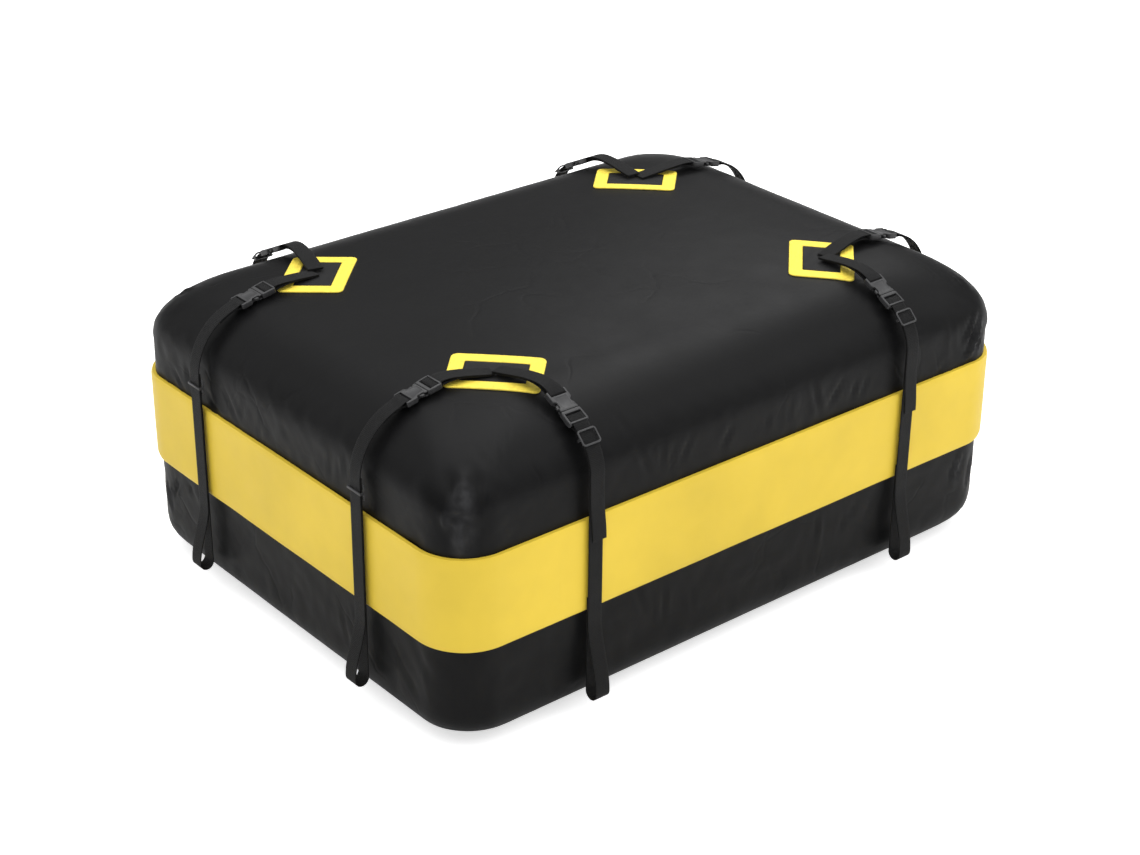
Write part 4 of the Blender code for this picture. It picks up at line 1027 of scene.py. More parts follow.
def drape(shell, slack):
    """Lets slack cloth buckle: it is a little too long, and what fills the bag holds it softly."""
    cloth = settings("cloth")
    start = vertices(shell)
    seeds = noise_at(start, SEED_WAVES[0], 21) + 0.6 * noise_at(start, SEED_WAVES[1], 22)
    push_along_normals(shell, cloth.seed_depth * seeds * slack)
    groups = {"held": 1 - slack * (1 - cloth.hold), "taut": 1 - slack}
    for name, weights in groups.items():
        group = shell.vertex_groups.new(name=name)
        for index, weight in enumerate(weights):
            group.add([index], float(weight), "REPLACE")
    modifier = shell.modifiers.new("Cloth", "CLOTH")
    for key, value in CLOTH_VALUES.items():
        setattr(modifier.settings, key, value)
    modifier.settings.shrink_min = -cloth.growth
    modifier.settings.effector_weights.gravity = 0.0
    modifier.collision_settings.use_collision = False
    modifier.point_cache.frame_start = 1
    modifier.point_cache.frame_end = cloth.frames
    activate(shell)
    for number in range(1, cloth.frames + 1):
        bpy.context.scene.frame_set(number)
    bpy.ops.object.modifier_apply(modifier=modifier.name)
    bpy.context.scene.frame_set(1)
    shell.vertex_groups.clear()
    moved = vertices(shell) - start
    way = np.linalg.norm(moved, axis=1)[:, None]
    kept = np.tanh(way / cloth.reach) * cloth.reach / np.maximum(way, 1e-9)
    place_vertices(shell, start + moved * kept)
    print(f"{shell.name}: cloth moved up to {way.max() * 1000:.1f} mm")


def lid_slack(points):
    """How slack the lid's cloth is: held at the zip and under the patches, tighter on the crown."""
    bag = settings("bag")
    wall = eased(points[:, 2], bag.lid_foot + 0.004, bag.band_top)
    top = 1 - 0.65 * eased(points[:, 2], bag.shoulder_top - 0.060, bag.shoulder_top)
    return wall * top * eased(patch_distance(points), 0.085, 0.125)


def tub_slack(points):
    """How slack the tub's cloth is: held at the zip and where it lies on the ground."""
    bag = settings("bag")
    below_zip = 1 - eased(points[:, 2], bag.band_bottom - 0.010, bag.tub_rim - 0.004)
    return below_zip * eased(points[:, 2], 0.004, 0.060)


# Rows of cells up each shell's wall
LID_ROWS = 16
TUB_ROWS = 14


def lid_shell():
    """The upper shell before it is wrinkled: crown, shoulders and walls down to the zip line."""
    bag = settings("bag")
    middle = math.radians(50)
    arc = 0.5 * (bag.shoulder_drop + bag.shoulder_reach) * middle
    wall_top = bag.shoulder_top - bag.shoulder_drop
    wall = wall_top - bag.lid_foot
    total = arc + wall

    def turn(row):
        return middle * np.clip(1 - row * total / arc, 0, 1)

    def inset_of(row):
        return bag.shoulder_reach * (1 - np.cos(turn(row)))

    def height_of(row):
        on_arc = wall_top + bag.shoulder_drop * np.sin(turn(row))
        below = np.maximum(row * total - arc, 0)
        return on_arc - below

    shell = divided_box("lid_shell", (bag.cells_long // 2, bag.cells_wide // 2, LID_ROWS))
    delete_faces(shell, lambda face: face.normal.z < -0.5)
    cap_inset = float(inset_of(np.array(0.0)))
    place_vertices(shell, shell_points(vertices(shell), inset_of, height_of, cap_inset, lid_height, 1))
    return shell


def tub_shell():
    """The lower shell before it is wrinkled: walls, rounded base edge and floor."""
    bag = settings("bag")
    arc = math.pi / 4 * (bag.base_rise + bag.base_reach)
    wall = bag.tub_rim - bag.base_rise
    total = arc + wall

    def turn(row):
        return math.pi / 2 * np.clip((row * total - wall) / arc, 0, 1)

    def inset_of(row):
        return bag.base_reach * (1 - np.cos(turn(row)))

    def height_of(row):
        on_wall = bag.tub_rim - np.minimum(row * total, wall)
        return on_wall - bag.base_rise * np.sin(turn(row))

    def floor(inset):
        return np.zeros_like(inset)

    shell = divided_box("tub_shell", (bag.cells_long // 2, bag.cells_wide // 2, TUB_ROWS))
    delete_faces(shell, lambda face: face.normal.z > 0.5)
    place_vertices(shell, shell_points(vertices(shell), inset_of, height_of, bag.base_reach, floor, -1))
    return shell


class CARRIER_OT_shells(Operator):
    """Make the lid and the tub of the bag"""

    bl_idname = "carrier.shells"
    bl_label = "Lid and tub"

    def execute(self, context):
        bag = settings("bag")
        lid = lid_shell()
        drape(lid, lid_slack(vertices(lid)))
        apply_modifier(lid, "SUBSURF", levels=1)
        points = vertices(lid)
        free = eased(patch_distance(points), 0.070, 0.110)
        wrinkles = wrinkle_depth(points, bag.band_top, fade=0.055, crumpled=1.0)
        push_along_normals(lid, wrinkles * free)
        tub = tub_shell()
        drape(tub, tub_slack(vertices(tub)))
        apply_modifier(tub, "SUBSURF", levels=1)
        points = vertices(tub)
        free = eased(points[:, 2], 0.002, bag.base_rise)
        wrinkles = wrinkle_depth(points, bag.band_bottom, fade=0.075, crumpled=0.35)
        push_along_normals(tub, wrinkles * free)
        for shell, name, node in ((lid, "lid_skin", "bag_lid"), (tub, "tub_skin", "bag_tub")):
            apply_modifier(shell, "SOLIDIFY", thickness=bag.fabric, offset=-1.0, use_even_offset=True)
            shell.name = name
            shell.data.name = name
            shade(shell, 60)
            dress(shell, FINISHES["tarpaulin"])
            settle(shell, node)
        return {"FINISHED"}


# Yellow band


# Radius of the band's turned-in edges, and the depth of its swells and of its slanting streaks
BAND_ROLL = 0.0022
BAND_SWELL = 0.0011
BAND_STREAK = 0.0005


class CARRIER_OT_band(Operator):
    """Make the yellow band that covers the zip"""

    bl_idname = "carrier.band"
    bl_label = "Yellow band"

    def execute(self, context):
        bag = settings("bag")
        roll = BAND_ROLL
        reach = bag.band_standoff
        face = bag.band_top - bag.band_bottom - 2 * roll
        hem = reach - roll
        quarter = math.pi / 2 * roll
        total = face + 2 * (hem + quarter)
        band = divided_box("zip_band", (bag.cells_long, bag.cells_wide, 26))
        delete_faces(band, lambda f: abs(f.normal.z) > 0.5)
        cube = vertices(band)
        travel = (1 - cube[:, 2]) / 2 * total
        lower = travel > total / 2
        path = np.where(lower, total - travel, travel)
        turn = np.clip((path - hem) / roll, 0, math.pi / 2)
        outwards = np.minimum(path, hem) + roll * np.sin(turn)
        drop = roll * (1 - np.cos(turn)) + np.maximum(path - hem - quarter, 0)
        height = np.where(lower, bag.band_bottom + drop, bag.band_top - drop)
        outwards = np.maximum(outwards, 0.0004)
        x = cube[:, 0] * (bag.half_length + outwards)
        y = cube[:, 1] * (bag.half_width + outwards)
        ring_x, ring_y = round_ring(x, y, np.zeros_like(x), outwards)
        points = np.column_stack((ring_x, ring_y, height))
        place_vertices(band, points)
        held = np.clip(outwards / reach, 0, 1) ** 3
        broad = noise_at(points, (0.13, 0.13, 0.10), 11)
        streaks = noise_at(points + np.outer(points[:, 2], (0.6, -0.6, 0)), (0.055, 0.055, 0.4), 12)
        push_along_normals(band, held * (BAND_SWELL * broad + BAND_STREAK * streaks))
        apply_modifier(band, "SOLIDIFY", thickness=bag.band_sheet, offset=-1.0, use_even_offset=True)
        shade(band, 60)
        dress(band, FINISHES["band"])
        settle(band, "zip_flap")
        return {"FINISHED"}


# Anchor patches


def patch_centre(corner):
    """Middle of a patch, from the CAD pad's box."""
    low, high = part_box(f"anchor_pad_{corner}")
    return (low.x + high.x) / 2, (low.y + high.y) / 2


def on_lid(corner, along, out, lift):
    """A point of a patch: along its long side, out towards the bag's corner, lifted off the lid."""
    side_x, side_y = CORNERS[corner]
    centre_x, centre_y = patch_centre(corner)
    slant = math.sqrt(0.5)
    x = centre_x + slant * (out - along) * side_x
    y = centre_y + slant * (out + along) * side_y
    return x, y, float(lid_height(lid_inset(x, y))) + lift


def rectangle_path(half_length, half_depth, radius, steps, corner_steps):
    """A rounded rectangle's points, with the same number for any size."""
    points = []
    for side_x, side_y, start in ((1, 1, 0), (-1, 1, 90), (-1, -1, 180), (1, -1, 270)):
        centre_x = side_x * (half_length - radius)
        centre_y = side_y * (half_depth - radius)
        for step in range(corner_steps + 1):
            angle = math.radians(start + 90 * step / corner_steps)
            points.append((centre_x + radius * math.cos(angle), centre_y + radius * math.sin(angle)))
        following = math.radians(start + 90)
        from_x, from_y = points[-1]
        turned_x, turned_y = (-side_x, side_y) if side_x * side_y > 0 else (side_x, -side_y)
        to_x = turned_x * (half_length - radius) + radius * math.cos(following)
        to_y = turned_y * (half_depth - radius) + radius * math.sin(following)
        run_x, run_y = (to_x - from_x) / steps, (to_y - from_y) / steps
        points += [(from_x + run_x * step, from_y + run_y * step) for step in range(1, steps)]
    return points


# The yellow frame's section from its outer edge to its middle: share of the way, height in millimetres
FRAME_HALF = (
    (0.00, 0.0),
    (0.00, 1.2),
    (0.03, 1.8),
    (0.08, 2.05),
    (0.15, 2.05),
    (0.20, 1.75),
    (0.24, 1.5),
    (0.33, 1.5),
    (0.37, 1.7),
    (0.43, 1.7),
    (0.47, 1.5),
)
FRAME_SECTION = FRAME_HALF + tuple((1 - share, height) for share, height in reversed(FRAME_HALF))
WINDOW_CORNER = 0.0015
PATH_STEPS = (18, 6)


def yellow_frame(corner):
    """The embossed frame, as a ring whose section is set point by point."""
    bag = settings("bag")
    outer = rectangle_path(bag.patch_length / 2, bag.patch_depth / 2, bag.patch_corner, *PATH_STEPS)
    inner = rectangle_path(bag.window_length / 2, bag.window_depth / 2, WINDOW_CORNER, *PATH_STEPS)
    deselect()
    bpy.ops.mesh.primitive_torus_add(major_segments=len(outer), minor_segments=len(FRAME_SECTION))
    ring = started(f"patch_frame_{corner}")
    points = []
    for (outer_x, outer_y), (inner_x, inner_y) in zip(outer, inner):
        for share, height in FRAME_SECTION:
            along = outer_x + (inner_x - outer_x) * share
            out = outer_y + (inner_y - outer_y) * share
            points.append(on_lid(corner, along, out, bag.patch_lift + 0.0004 + height / 1000))
    place_vertices(ring, points)
    face_outwards(ring)
    shade(ring, 50)
    dress(ring, FINISHES["rubber"])
    settle(ring, f"anchor_patch_{corner}")


def globe(name, rows, top, bottom):
    """A closed skin from a sphere: its rings take the rows' points, its poles the two ends."""
    count = len(rows[0])
    deselect()
    bpy.ops.mesh.primitive_uv_sphere_add(segments=count, ring_count=len(rows) + 1)
    skin = started(name)
    sphere = vertices(skin)
    angle = np.arctan2(sphere[:, 1], sphere[:, 0]) / (2 * math.pi) * count
    ring = np.arccos(np.clip(sphere[:, 2], -1, 1)) / math.pi * (len(rows) + 1)
    points = []
    for turn, level in zip(np.round(angle).astype(int), np.round(ring).astype(int)):
        if level == 0:
            points.append(top)
        elif level == len(rows) + 1:
            points.append(bottom)
        else:
            points.append(rows[level - 1][turn % count])
    place_vertices(skin, points)
    return skin


def black_pad(corner):
    """The black backing under the frame, with the pad raised in the frame's window."""
    bag = settings("bag")
    skirt = 0.0012
    ease = 0.0006
    low, high = bag.patch_lift, bag.pad_height
    sunk = 0.0001 - ease
    edge = rectangle_path(bag.patch_length / 2 + skirt, bag.patch_depth / 2 + skirt, 0.011, *PATH_STEPS)
    window = rectangle_path(
        bag.window_length / 2 - ease, bag.window_depth / 2 - ease, WINDOW_CORNER, *PATH_STEPS
    )
    rows = [(window, share, high) for share in (0.1, 0.3, 0.5, 0.7, 0.85, 0.955)]
    rows += [(window, 0.985, high - 0.0002), (window, 1.0, high - 0.0007), (window, 1.0, low)]
    rows += [(edge, 0.99, low), (edge, 1.0, low - 0.0003), (edge, 1.0, sunk), (edge, 0.9, sunk)]
    points = [
        [on_lid(corner, x * share, y * share, lift) for x, y in path] for path, share, lift in rows
    ]
    top = on_lid(corner, 0, 0, high)
    bottom = on_lid(corner, 0, 0, sunk)
    pad = globe(f"anchor_backing_{corner}", points, top, bottom)
    face_outwards(pad)
    shade(pad, 40)
    dress(pad, FINISHES["pad"])
    settle(pad, f"anchor_pad_{corner}")


class CARRIER_OT_patches(Operator):
    """Make the four anchor patches: yellow frames on black pads"""

    bl_idname = "carrier.patches"
    bl_label = "Anchor patches"

    def execute(self, context):
        for corner in CORNERS:
            yellow_frame(corner)
            black_pad(corner)
        return {"FINISHED"}


# Straps


class StrapLine:
    """The line that one strap follows over the shoulder of the bag.

    u is measured outwards from the bag's middle, q along the line from where the shoulder arc starts.
    """

    def __init__(self, kind, corner):
        side_x, side_y = CORNERS[corner]
        bag, straps = settings("bag"), settings("straps")
        self.kind = kind
        self.corner = corner
        self.straps = straps
        if kind == "side":
            self.out = Vector((0, side_y, 0))
            self.across = Vector((1, 0, 0))
            self.plane = side_x * straps.side_plane
            self.slope = straps.side_slope
            self.radius = straps.side_radius
            self.straight_u = bag.half_width + bag.band_standoff + straps.standoff
            self.arc_z = bag.shoulder_top - straps.side_drop
        else:
            self.out = Vector((side_x, 0, 0))
            self.across = Vector((0, 1, 0))
            self.plane = side_y * straps.end_plane
            self.slope = straps.end_slope
            self.radius = straps.end_radius
            self.straight_u = bag.half_length + bag.band_standoff + straps.standoff
            self.arc_z = bag.shoulder_top - straps.end_drop
        self.arc_u = self.straight_u - self.radius
        self.arc_length = self.radius * (math.pi / 2 - self.slope)

    def at(self, q):
        """u, z and the angle by which the line falls."""
        if q <= 0:
            u = self.arc_u + self.radius * math.sin(self.slope) + q * math.cos(self.slope)
            z = self.arc_z + self.radius * math.cos(self.slope) - q * math.sin(self.slope)
            return u, z, self.slope
        if q <= self.arc_length:
            fall = self.slope + q / self.radius
            u = self.arc_u + self.radius * math.sin(fall)
            z = self.arc_z + self.radius * math.cos(fall)
            return u, z, fall
        return self.straight_u, self.arc_z - (q - self.arc_length), math.pi / 2

    def q_at_height(self, z):
        return self.arc_length + self.arc_z - z

    def buckle_q(self, along):
        """Place on the line of a length along the buckle, counted from its horn tips."""
        sizes = settings("buckles")
        if self.kind == "side":
            return along - sizes.plug_end - sizes.side_lead
        return -sizes.end_lead - along

    def point(self, u, sideways, z):
        return self.out * u + self.across * (self.plane + sideways) + Vector((0, 0, z))

    def station(self, u, z, fall, offset, sideways=0.0, yaw=0.0):
        """One station of a ribbon: its centre and the direction of its width."""
        centre = self.point(u + offset * math.sin(fall), sideways, z + offset * math.cos(fall))
        width = self.across * math.cos(yaw) - self.out * math.sin(yaw)
        return centre, width

    def on_line(self, q, offset, sideways=0.0):
        u, z, fall = self.at(q)
        return self.station(u, z, fall, offset, sideways)

    def hairpin(self, q, towards, spread, steps=14):
        """Stations round a bar at q, from above it to below it. towards is 1 outwards, -1 inwards."""
        u, z, fall = self.at(q)
        found = []
        for step in range(steps + 1):
            angle = math.pi * step / steps
            along = towards * spread * math.sin(angle)
            centre_u = u + along * math.cos(fall)
            centre_z = z - along * math.sin(fall)
            found.append(self.station(centre_u, centre_z, fall, spread * math.cos(angle)))
        return found

    def converged(self, q, clear_at, base, spread):
        """Offset of a layer that leaves a bar at clear_at and closes up to its place in the stack."""
        share = smoothstep((q - clear_at) / self.straps.converge)
        return math.copysign(spread, base) + (base - math.copysign(spread, base)) * share

    def matrix(self, q, flipped, turned_over=False):
        """Local X along the line, Z out of the bag."""
        u, z, fall = self.at(q)
        along = self.out * math.cos(fall) - Vector((0, 0, math.sin(fall)))
        up = self.out * math.sin(fall) + Vector((0, 0, math.cos(fall)))
        if flipped:
            along = -along
        if turned_over:
            up = -up
        matrix = Matrix((along, up.cross(along), up)).transposed().to_4x4()
        matrix.translation = self.point(u, 0, z)
        return matrix


def steps_between(start, end, pitch=0.004):
    """Evenly spaced values from start to end, both included."""
    count = max(1, round(abs(end - start) / pitch))
    return [start + (end - start) * k / count for k in range(count + 1)]


def bar_spread():
    """From a buckle bar's middle to the middle of the webbing round it."""
    return settings("buckles").bar_radius + 0.0004 + settings("straps").thickness / 2


def webbing_strip(name, stations, node):
    """Woven webbing through its stations, with its own map in metres and softened edges."""
    straps = settings("straps")
    cells = 6
    rows = len(stations) - 1
    deselect()
    bpy.ops.mesh.primitive_grid_add(x_subdivisions=cells, y_subdivisions=rows, size=2, calc_uvs=True)
    strip = started(name)
    grid = vertices(strip)
    column = np.round((grid[:, 0] + 1) / 2 * cells).astype(int)
    row = np.round((grid[:, 1] + 1) / 2 * rows).astype(int)
    centres = np.array([centre for centre, _ in stations])
    widths = np.array([width for _, width in stations])
    travel = np.concatenate(([0.0], np.cumsum(np.linalg.norm(np.diff(centres, axis=0), axis=1))))
    across = (column / cells - 0.5) * straps.width
    place_vertices(strip, centres[row] + widths[row] * across[:, None])
    loops = np.empty(len(strip.data.loops), np.int32)
    strip.data.loops.foreach_get("vertex_index", loops)
    own_map = np.column_stack((across[loops], travel[row[loops]]))
    strip.data.uv_layers.active.data.foreach_set("uv", own_map.astype(np.float32).ravel())
    apply_modifier(strip, "SOLIDIFY", thickness=straps.thickness, offset=0.0, use_even_offset=True)
    bevel_sharp(strip, 0.0004, 60)
    shade(strip, 50)
    dress(strip, FINISHES["webbing"])
    settle(strip, node)


def foot_loop(line, main_offset, back_offset, bottom, back_top_q):
    """Stations of the loop at a strap's foot: out, round the bottom and up behind."""
    straps = line.straps
    radius = straps.loop_radius
    back_u = line.straight_u + back_offset
    centre_z = bottom + straps.thickness / 2 + radius
    start_u = line.straight_u + main_offset
    found = []
    for step in range(24):
        u, _ = hermite(start_u, 0, back_u + 2 * radius, 0, step / 24)
        z = straps.loop_start + (centre_z - straps.loop_start) * step / 24
        found.append((line.point(u, 0, z), line.across))
    for step in range(21):
        angle = math.pi * step / 20
        u = back_u + radius + radius * math.cos(angle)
        found.append((line.point(u, 0, centre_z - radius * math.sin(angle)), line.across))
    above = steps_between(centre_z, straps.loop_start)[1:]
    found += [(line.point(back_u, 0, z), line.across) for z in above]
    behind = steps_between(line.q_at_height(straps.loop_start), back_top_q)[1:]
    found += [line.on_line(q, back_offset) for q in behind]
    return found


# Lengths over which a tail drifts sideways, and by which a foot's layer stops short of the shoulder
TAIL_DRIFT = 0.07
BACK_LAYER_STOP = 0.008


def side_strap(line):
    """Tail end, ladder lock, shoulder and foot loop of a long strap on a long side."""
    straps, sizes = line.straps, settings("buckles")
    spread = bar_spread()
    layer = straps.pitch / 2
    clear_q = line.buckle_q(sizes.plug_end) + 0.001
    low_q = line.q_at_height(straps.loop_start)
    tail_q = line.q_at_height(straps.tail_end)
    stations = []
    for q in steps_between(tail_q, clear_q):
        drift = straps.tail_shift * (1 - smoothstep((tail_q - q) / TAIL_DRIFT))
        stations.append(line.on_line(q, line.converged(q, clear_q, layer, spread), drift))
    bar_q = line.buckle_q(sizes.plug_bar)
    stations += line.hairpin(bar_q, -1, spread)
    for q in steps_between(clear_q, low_q)[:-1]:
        stations.append(line.on_line(q, line.converged(q, clear_q, -layer, spread)))
    back = -layer - straps.pitch
    back_top_q = line.q_at_height(straps.side_back_top)
    stations += foot_loop(line, -layer, back, straps.side_loop_bottom, back_top_q)
    webbing_strip(f"side_webbing_{line.corner}", stations, f"side_strap_{line.corner}")


def end_strap(line):
    """Buckle loop, shoulder, foot loop and back layer of a long strap on a short side."""
    straps, sizes = line.straps, settings("buckles")
    spread = bar_spread()
    layer = straps.pitch / 2
    clear_q = line.buckle_q(0) + 0.001
    low_q = line.q_at_height(straps.loop_start)
    stations = []
    for q in steps_between(straps.return_length, clear_q):
        stations.append(line.on_line(q, line.converged(q, clear_q, -layer, spread)))
    stations += reversed(line.hairpin(line.buckle_q(sizes.socket_bar), -1, spread))
    for q in steps_between(clear_q, low_q)[:-1]:
        stations.append(line.on_line(q, line.converged(q, clear_q, layer, spread)))
    back_top_q = line.arc_length - BACK_LAYER_STOP
    stations += foot_loop(line, layer, -layer, straps.end_loop_bottom, back_top_q)
    webbing_strip(f"end_webbing_{line.corner}", stations, f"end_strap_{line.corner}")


# A stub: how steeply it leaves its root, how fast it turns into line, and where its layers part
STUB_STEPS = 34
STUB_RISE = math.radians(4)
STUB_TURN = 1.35
STUB_SPREAD_START = 0.55


def stub(line):
    """The doubled webbing from its root on the pad to the buckle's bar."""
    bag, straps, sizes = settings("bag"), line.straps, settings("buckles")
    spread = bar_spread()
    layer = straps.pitch / 2
    if line.kind == "side":
        bar_q = line.buckle_q(sizes.socket_bar)
        clear_q = line.buckle_q(0) - 0.002
        reach, lift = straps.side_root, 0.0032
    else:
        bar_q = line.buckle_q(sizes.plug_bar)
        clear_q = line.buckle_q(sizes.plug_end) - 0.001
        reach, lift = straps.end_root, 0.0
    root = Vector((*patch_centre(line.corner), 0)) + line.out * reach
    root_u = root.dot(line.out)
    root_side = root.dot(line.across) - line.plane
    pad_z = float(lid_height(lid_inset(root.x, root.y))) + bag.pad_height
    root_z = pad_z + 0.0003 + straps.pitch + lift
    end_u, end_z, end_fall = line.at(clear_q)
    run = math.hypot(end_u - root_u, end_z - root_z)
    upper, lower = [], []
    for step in range(STUB_STEPS + 1):
        t = step / STUB_STEPS
        u, slope_u = hermite(root_u, run, end_u, run * math.cos(end_fall), t)
        z, slope_z = hermite(root_z, run * math.sin(STUB_RISE), end_z, -run * math.sin(end_fall), t)
        sideways, slope_side = hermite(root_side, -STUB_TURN * root_side, 0, 0, t)
        yaw = math.atan2(slope_side, slope_u)
        fall = math.atan2(-slope_z, slope_u)
        apart = layer + (spread - layer) * smoothstep((t - STUB_SPREAD_START) / (1 - STUB_SPREAD_START))
        upper.append(line.station(u, z, fall, apart, sideways, yaw))
        lower.append(line.station(u, z, fall, -apart, sideways, yaw))
    stations = upper + line.hairpin(bar_q, 1, spread) + lower[::-1]
    name = f"{line.kind}_stub_webbing_{line.corner}"
    webbing_strip(name, stations, f"{line.kind}_stub_{line.corner}")


class CARRIER_OT_webbing(Operator):
    """Make the sewn stubs and the long straps"""

    bl_idname = "carrier.webbing"
    bl_label = "Webbing"

    def execute(self, context):
        for corner in CORNERS:
            for kind in KINDS:
                line = StrapLine(kind, corner)
                stub(line)
                if kind == "side":
                    side_strap(line)
                else:
                    end_strap(line)
        return {"FINISHED"}


# Buckles and tri-glides


def slab(name, outline, low, high, edge=0.0, segments=2):
    """A plate with the given outline, from low to high along Z, its rims rounded."""
    deselect()
    bpy.ops.mesh.primitive_circle_add(vertices=len(outline), fill_type="NGON")
    plate = started(name)
    place_vertices(plate, [(x, y, low) for x, y in outline])
    bpy.ops.object.mode_set(mode="EDIT")
    bpy.ops.mesh.select_all(action="SELECT")
    bpy.ops.mesh.extrude_region_move(TRANSFORM_OT_translate={"value": (0, 0, high - low)})
    bpy.ops.mesh.select_all(action="SELECT")
    bpy.ops.mesh.normals_make_consistent(inside=False)
    if edge:
        bpy.ops.mesh.select_mode(type="EDGE")
        bm = bmesh.from_edit_mesh(plate.data)
        for rim in bm.edges:
            rim.select_set(abs(rim.verts[0].co.z - rim.verts[1].co.z) < 1e-6)
        bmesh.update_edit_mesh(plate.data)
        bpy.ops.mesh.bevel(offset=edge, segments=segments, affect="EDGES", clamp_overlap=True)
    bpy.ops.object.mode_set(mode="OBJECT")
    return plate


def block(name, low, high):
    """A straight-sided block between two corners, for cutting."""
    outline = ((low[0], low[1]), (high[0], low[1]), (high[0], high[1]), (low[0], high[1]))
    return slab(name, outline, low[2], high[2])


def rod(name, radius, start, end):
    """A round bar between two points."""
    start, end = Vector(start), Vector(end)
    deselect()
    bpy.ops.mesh.primitive_cylinder_add(vertices=20, radius=radius, depth=(end - start).length)
    bar = started(name)
    turn = (end - start).to_track_quat("Z", "Y").to_matrix().to_4x4()
    bar.data.transform(Matrix.Translation((start + end) / 2) @ turn)
    return bar


def add_bar(body, place, reach):
    """Joins a buckle's round bar on, across its rails."""
    bar = rod("buckle_bar", settings("buckles").bar_radius, (place, -reach, 0), (place, reach, 0))
    join_shape(body, "UNION", bar)


def join_shape(base, operation, shape):
    apply_modifier(base, "BOOLEAN", operation=operation, solver="EXACT", object=shape)
    discard(shape)


def soften(obj, width, angle):
    face_outwards(obj)
    bevel_sharp(obj, width, angle)
    shade(obj, 35)


def mirrored(half):
    """A closed outline from the points of its +Y half, anticlockwise."""
    return [(x, -y) for x, y in half] + [(x, y) for x, y in reversed(half)]


def arc_points(centre, radius, start, end, steps=5):
    """Points of an arc, its angles in degrees."""
    found = []
    for step in range(steps + 1):
        angle = math.radians(start + (end - start) * step / steps)
        found.append((centre[0] + radius * math.cos(angle), centre[1] + radius * math.sin(angle)))
    return found


NOTCH_DEPTH = 0.0045
SOCKET_PLATE = 0.0017
CASE_EDGE = 0.00022
PRONG_TIP = 0.0205
PRONG_INSET = 0.0090
PRONG_WIDTH = 0.0032
LUG_INSET = 0.0004
PRONG_EDGE = 0.0004


def socket_piece():
    """The receiving half: two horns, a fixed bar, two plates with side notches and an open mouth."""
    sizes = settings("buckles")
    wide = sizes.slot_half + sizes.rail
    notch = wide - NOTCH_DEPTH
    thick = sizes.half_thickness
    half = [(0.0, sizes.slot_half + 0.0003)]
    half += arc_points((0.0022, wide - 0.0022), 0.0022, 180, 90)
    half += [(sizes.slot_end, wide + 0.0001)]
    half += arc_points((sizes.cavity_start - 0.0036, wide - 0.0034), 0.0034, 90, 30)
    half += arc_points((sizes.cavity_start + 0.0022, notch + 0.0016), 0.0016, 210, 270)
    half += arc_points((sizes.notch_end - 0.0030, notch + 0.0016), 0.0016, 270, 330)
    half += arc_points((sizes.notch_end + 0.0016, wide - 0.0032), 0.0018, 150, 90)
    half += arc_points((sizes.socket_end - 0.0014, wide - 0.0028), 0.0014, 90, 0)
    body = slab("socket_form", mirrored(half), -thick, thick, 0.0013, 3)
    slot = sizes.slot_half
    window = block("socket_slot", (-0.004, -slot, -2 * thick), (sizes.slot_end, slot, 2 * thick))
    join_shape(body, "DIFFERENCE", window)
    hollow = thick - SOCKET_PLATE
    cavity_low = (sizes.cavity_start, -2 * wide, -hollow)
    cavity = block("socket_cavity", cavity_low, (sizes.socket_end + 0.002, 2 * wide, hollow))
    join_shape(body, "DIFFERENCE", cavity)
    for side in (-1, 1):
        dish = slab(
            "socket_dish",
            mirrored([(0.0130, 0.0085), (0.0145, 0.0098), (0.0300, 0.0080), (0.0325, 0.0060)]),
            *sorted((side * (thick - 0.0004), side * (thick + 0.002))),
        )
        join_shape(body, "DIFFERENCE", dish)
    soften(body, CASE_EDGE, 35)
    reach = slot + sizes.rail / 2
    add_bar(body, sizes.socket_bar, reach)
    face_outwards(body)
    shade(body, 35)
    dress(body, FINISHES["plastic"])
    return body


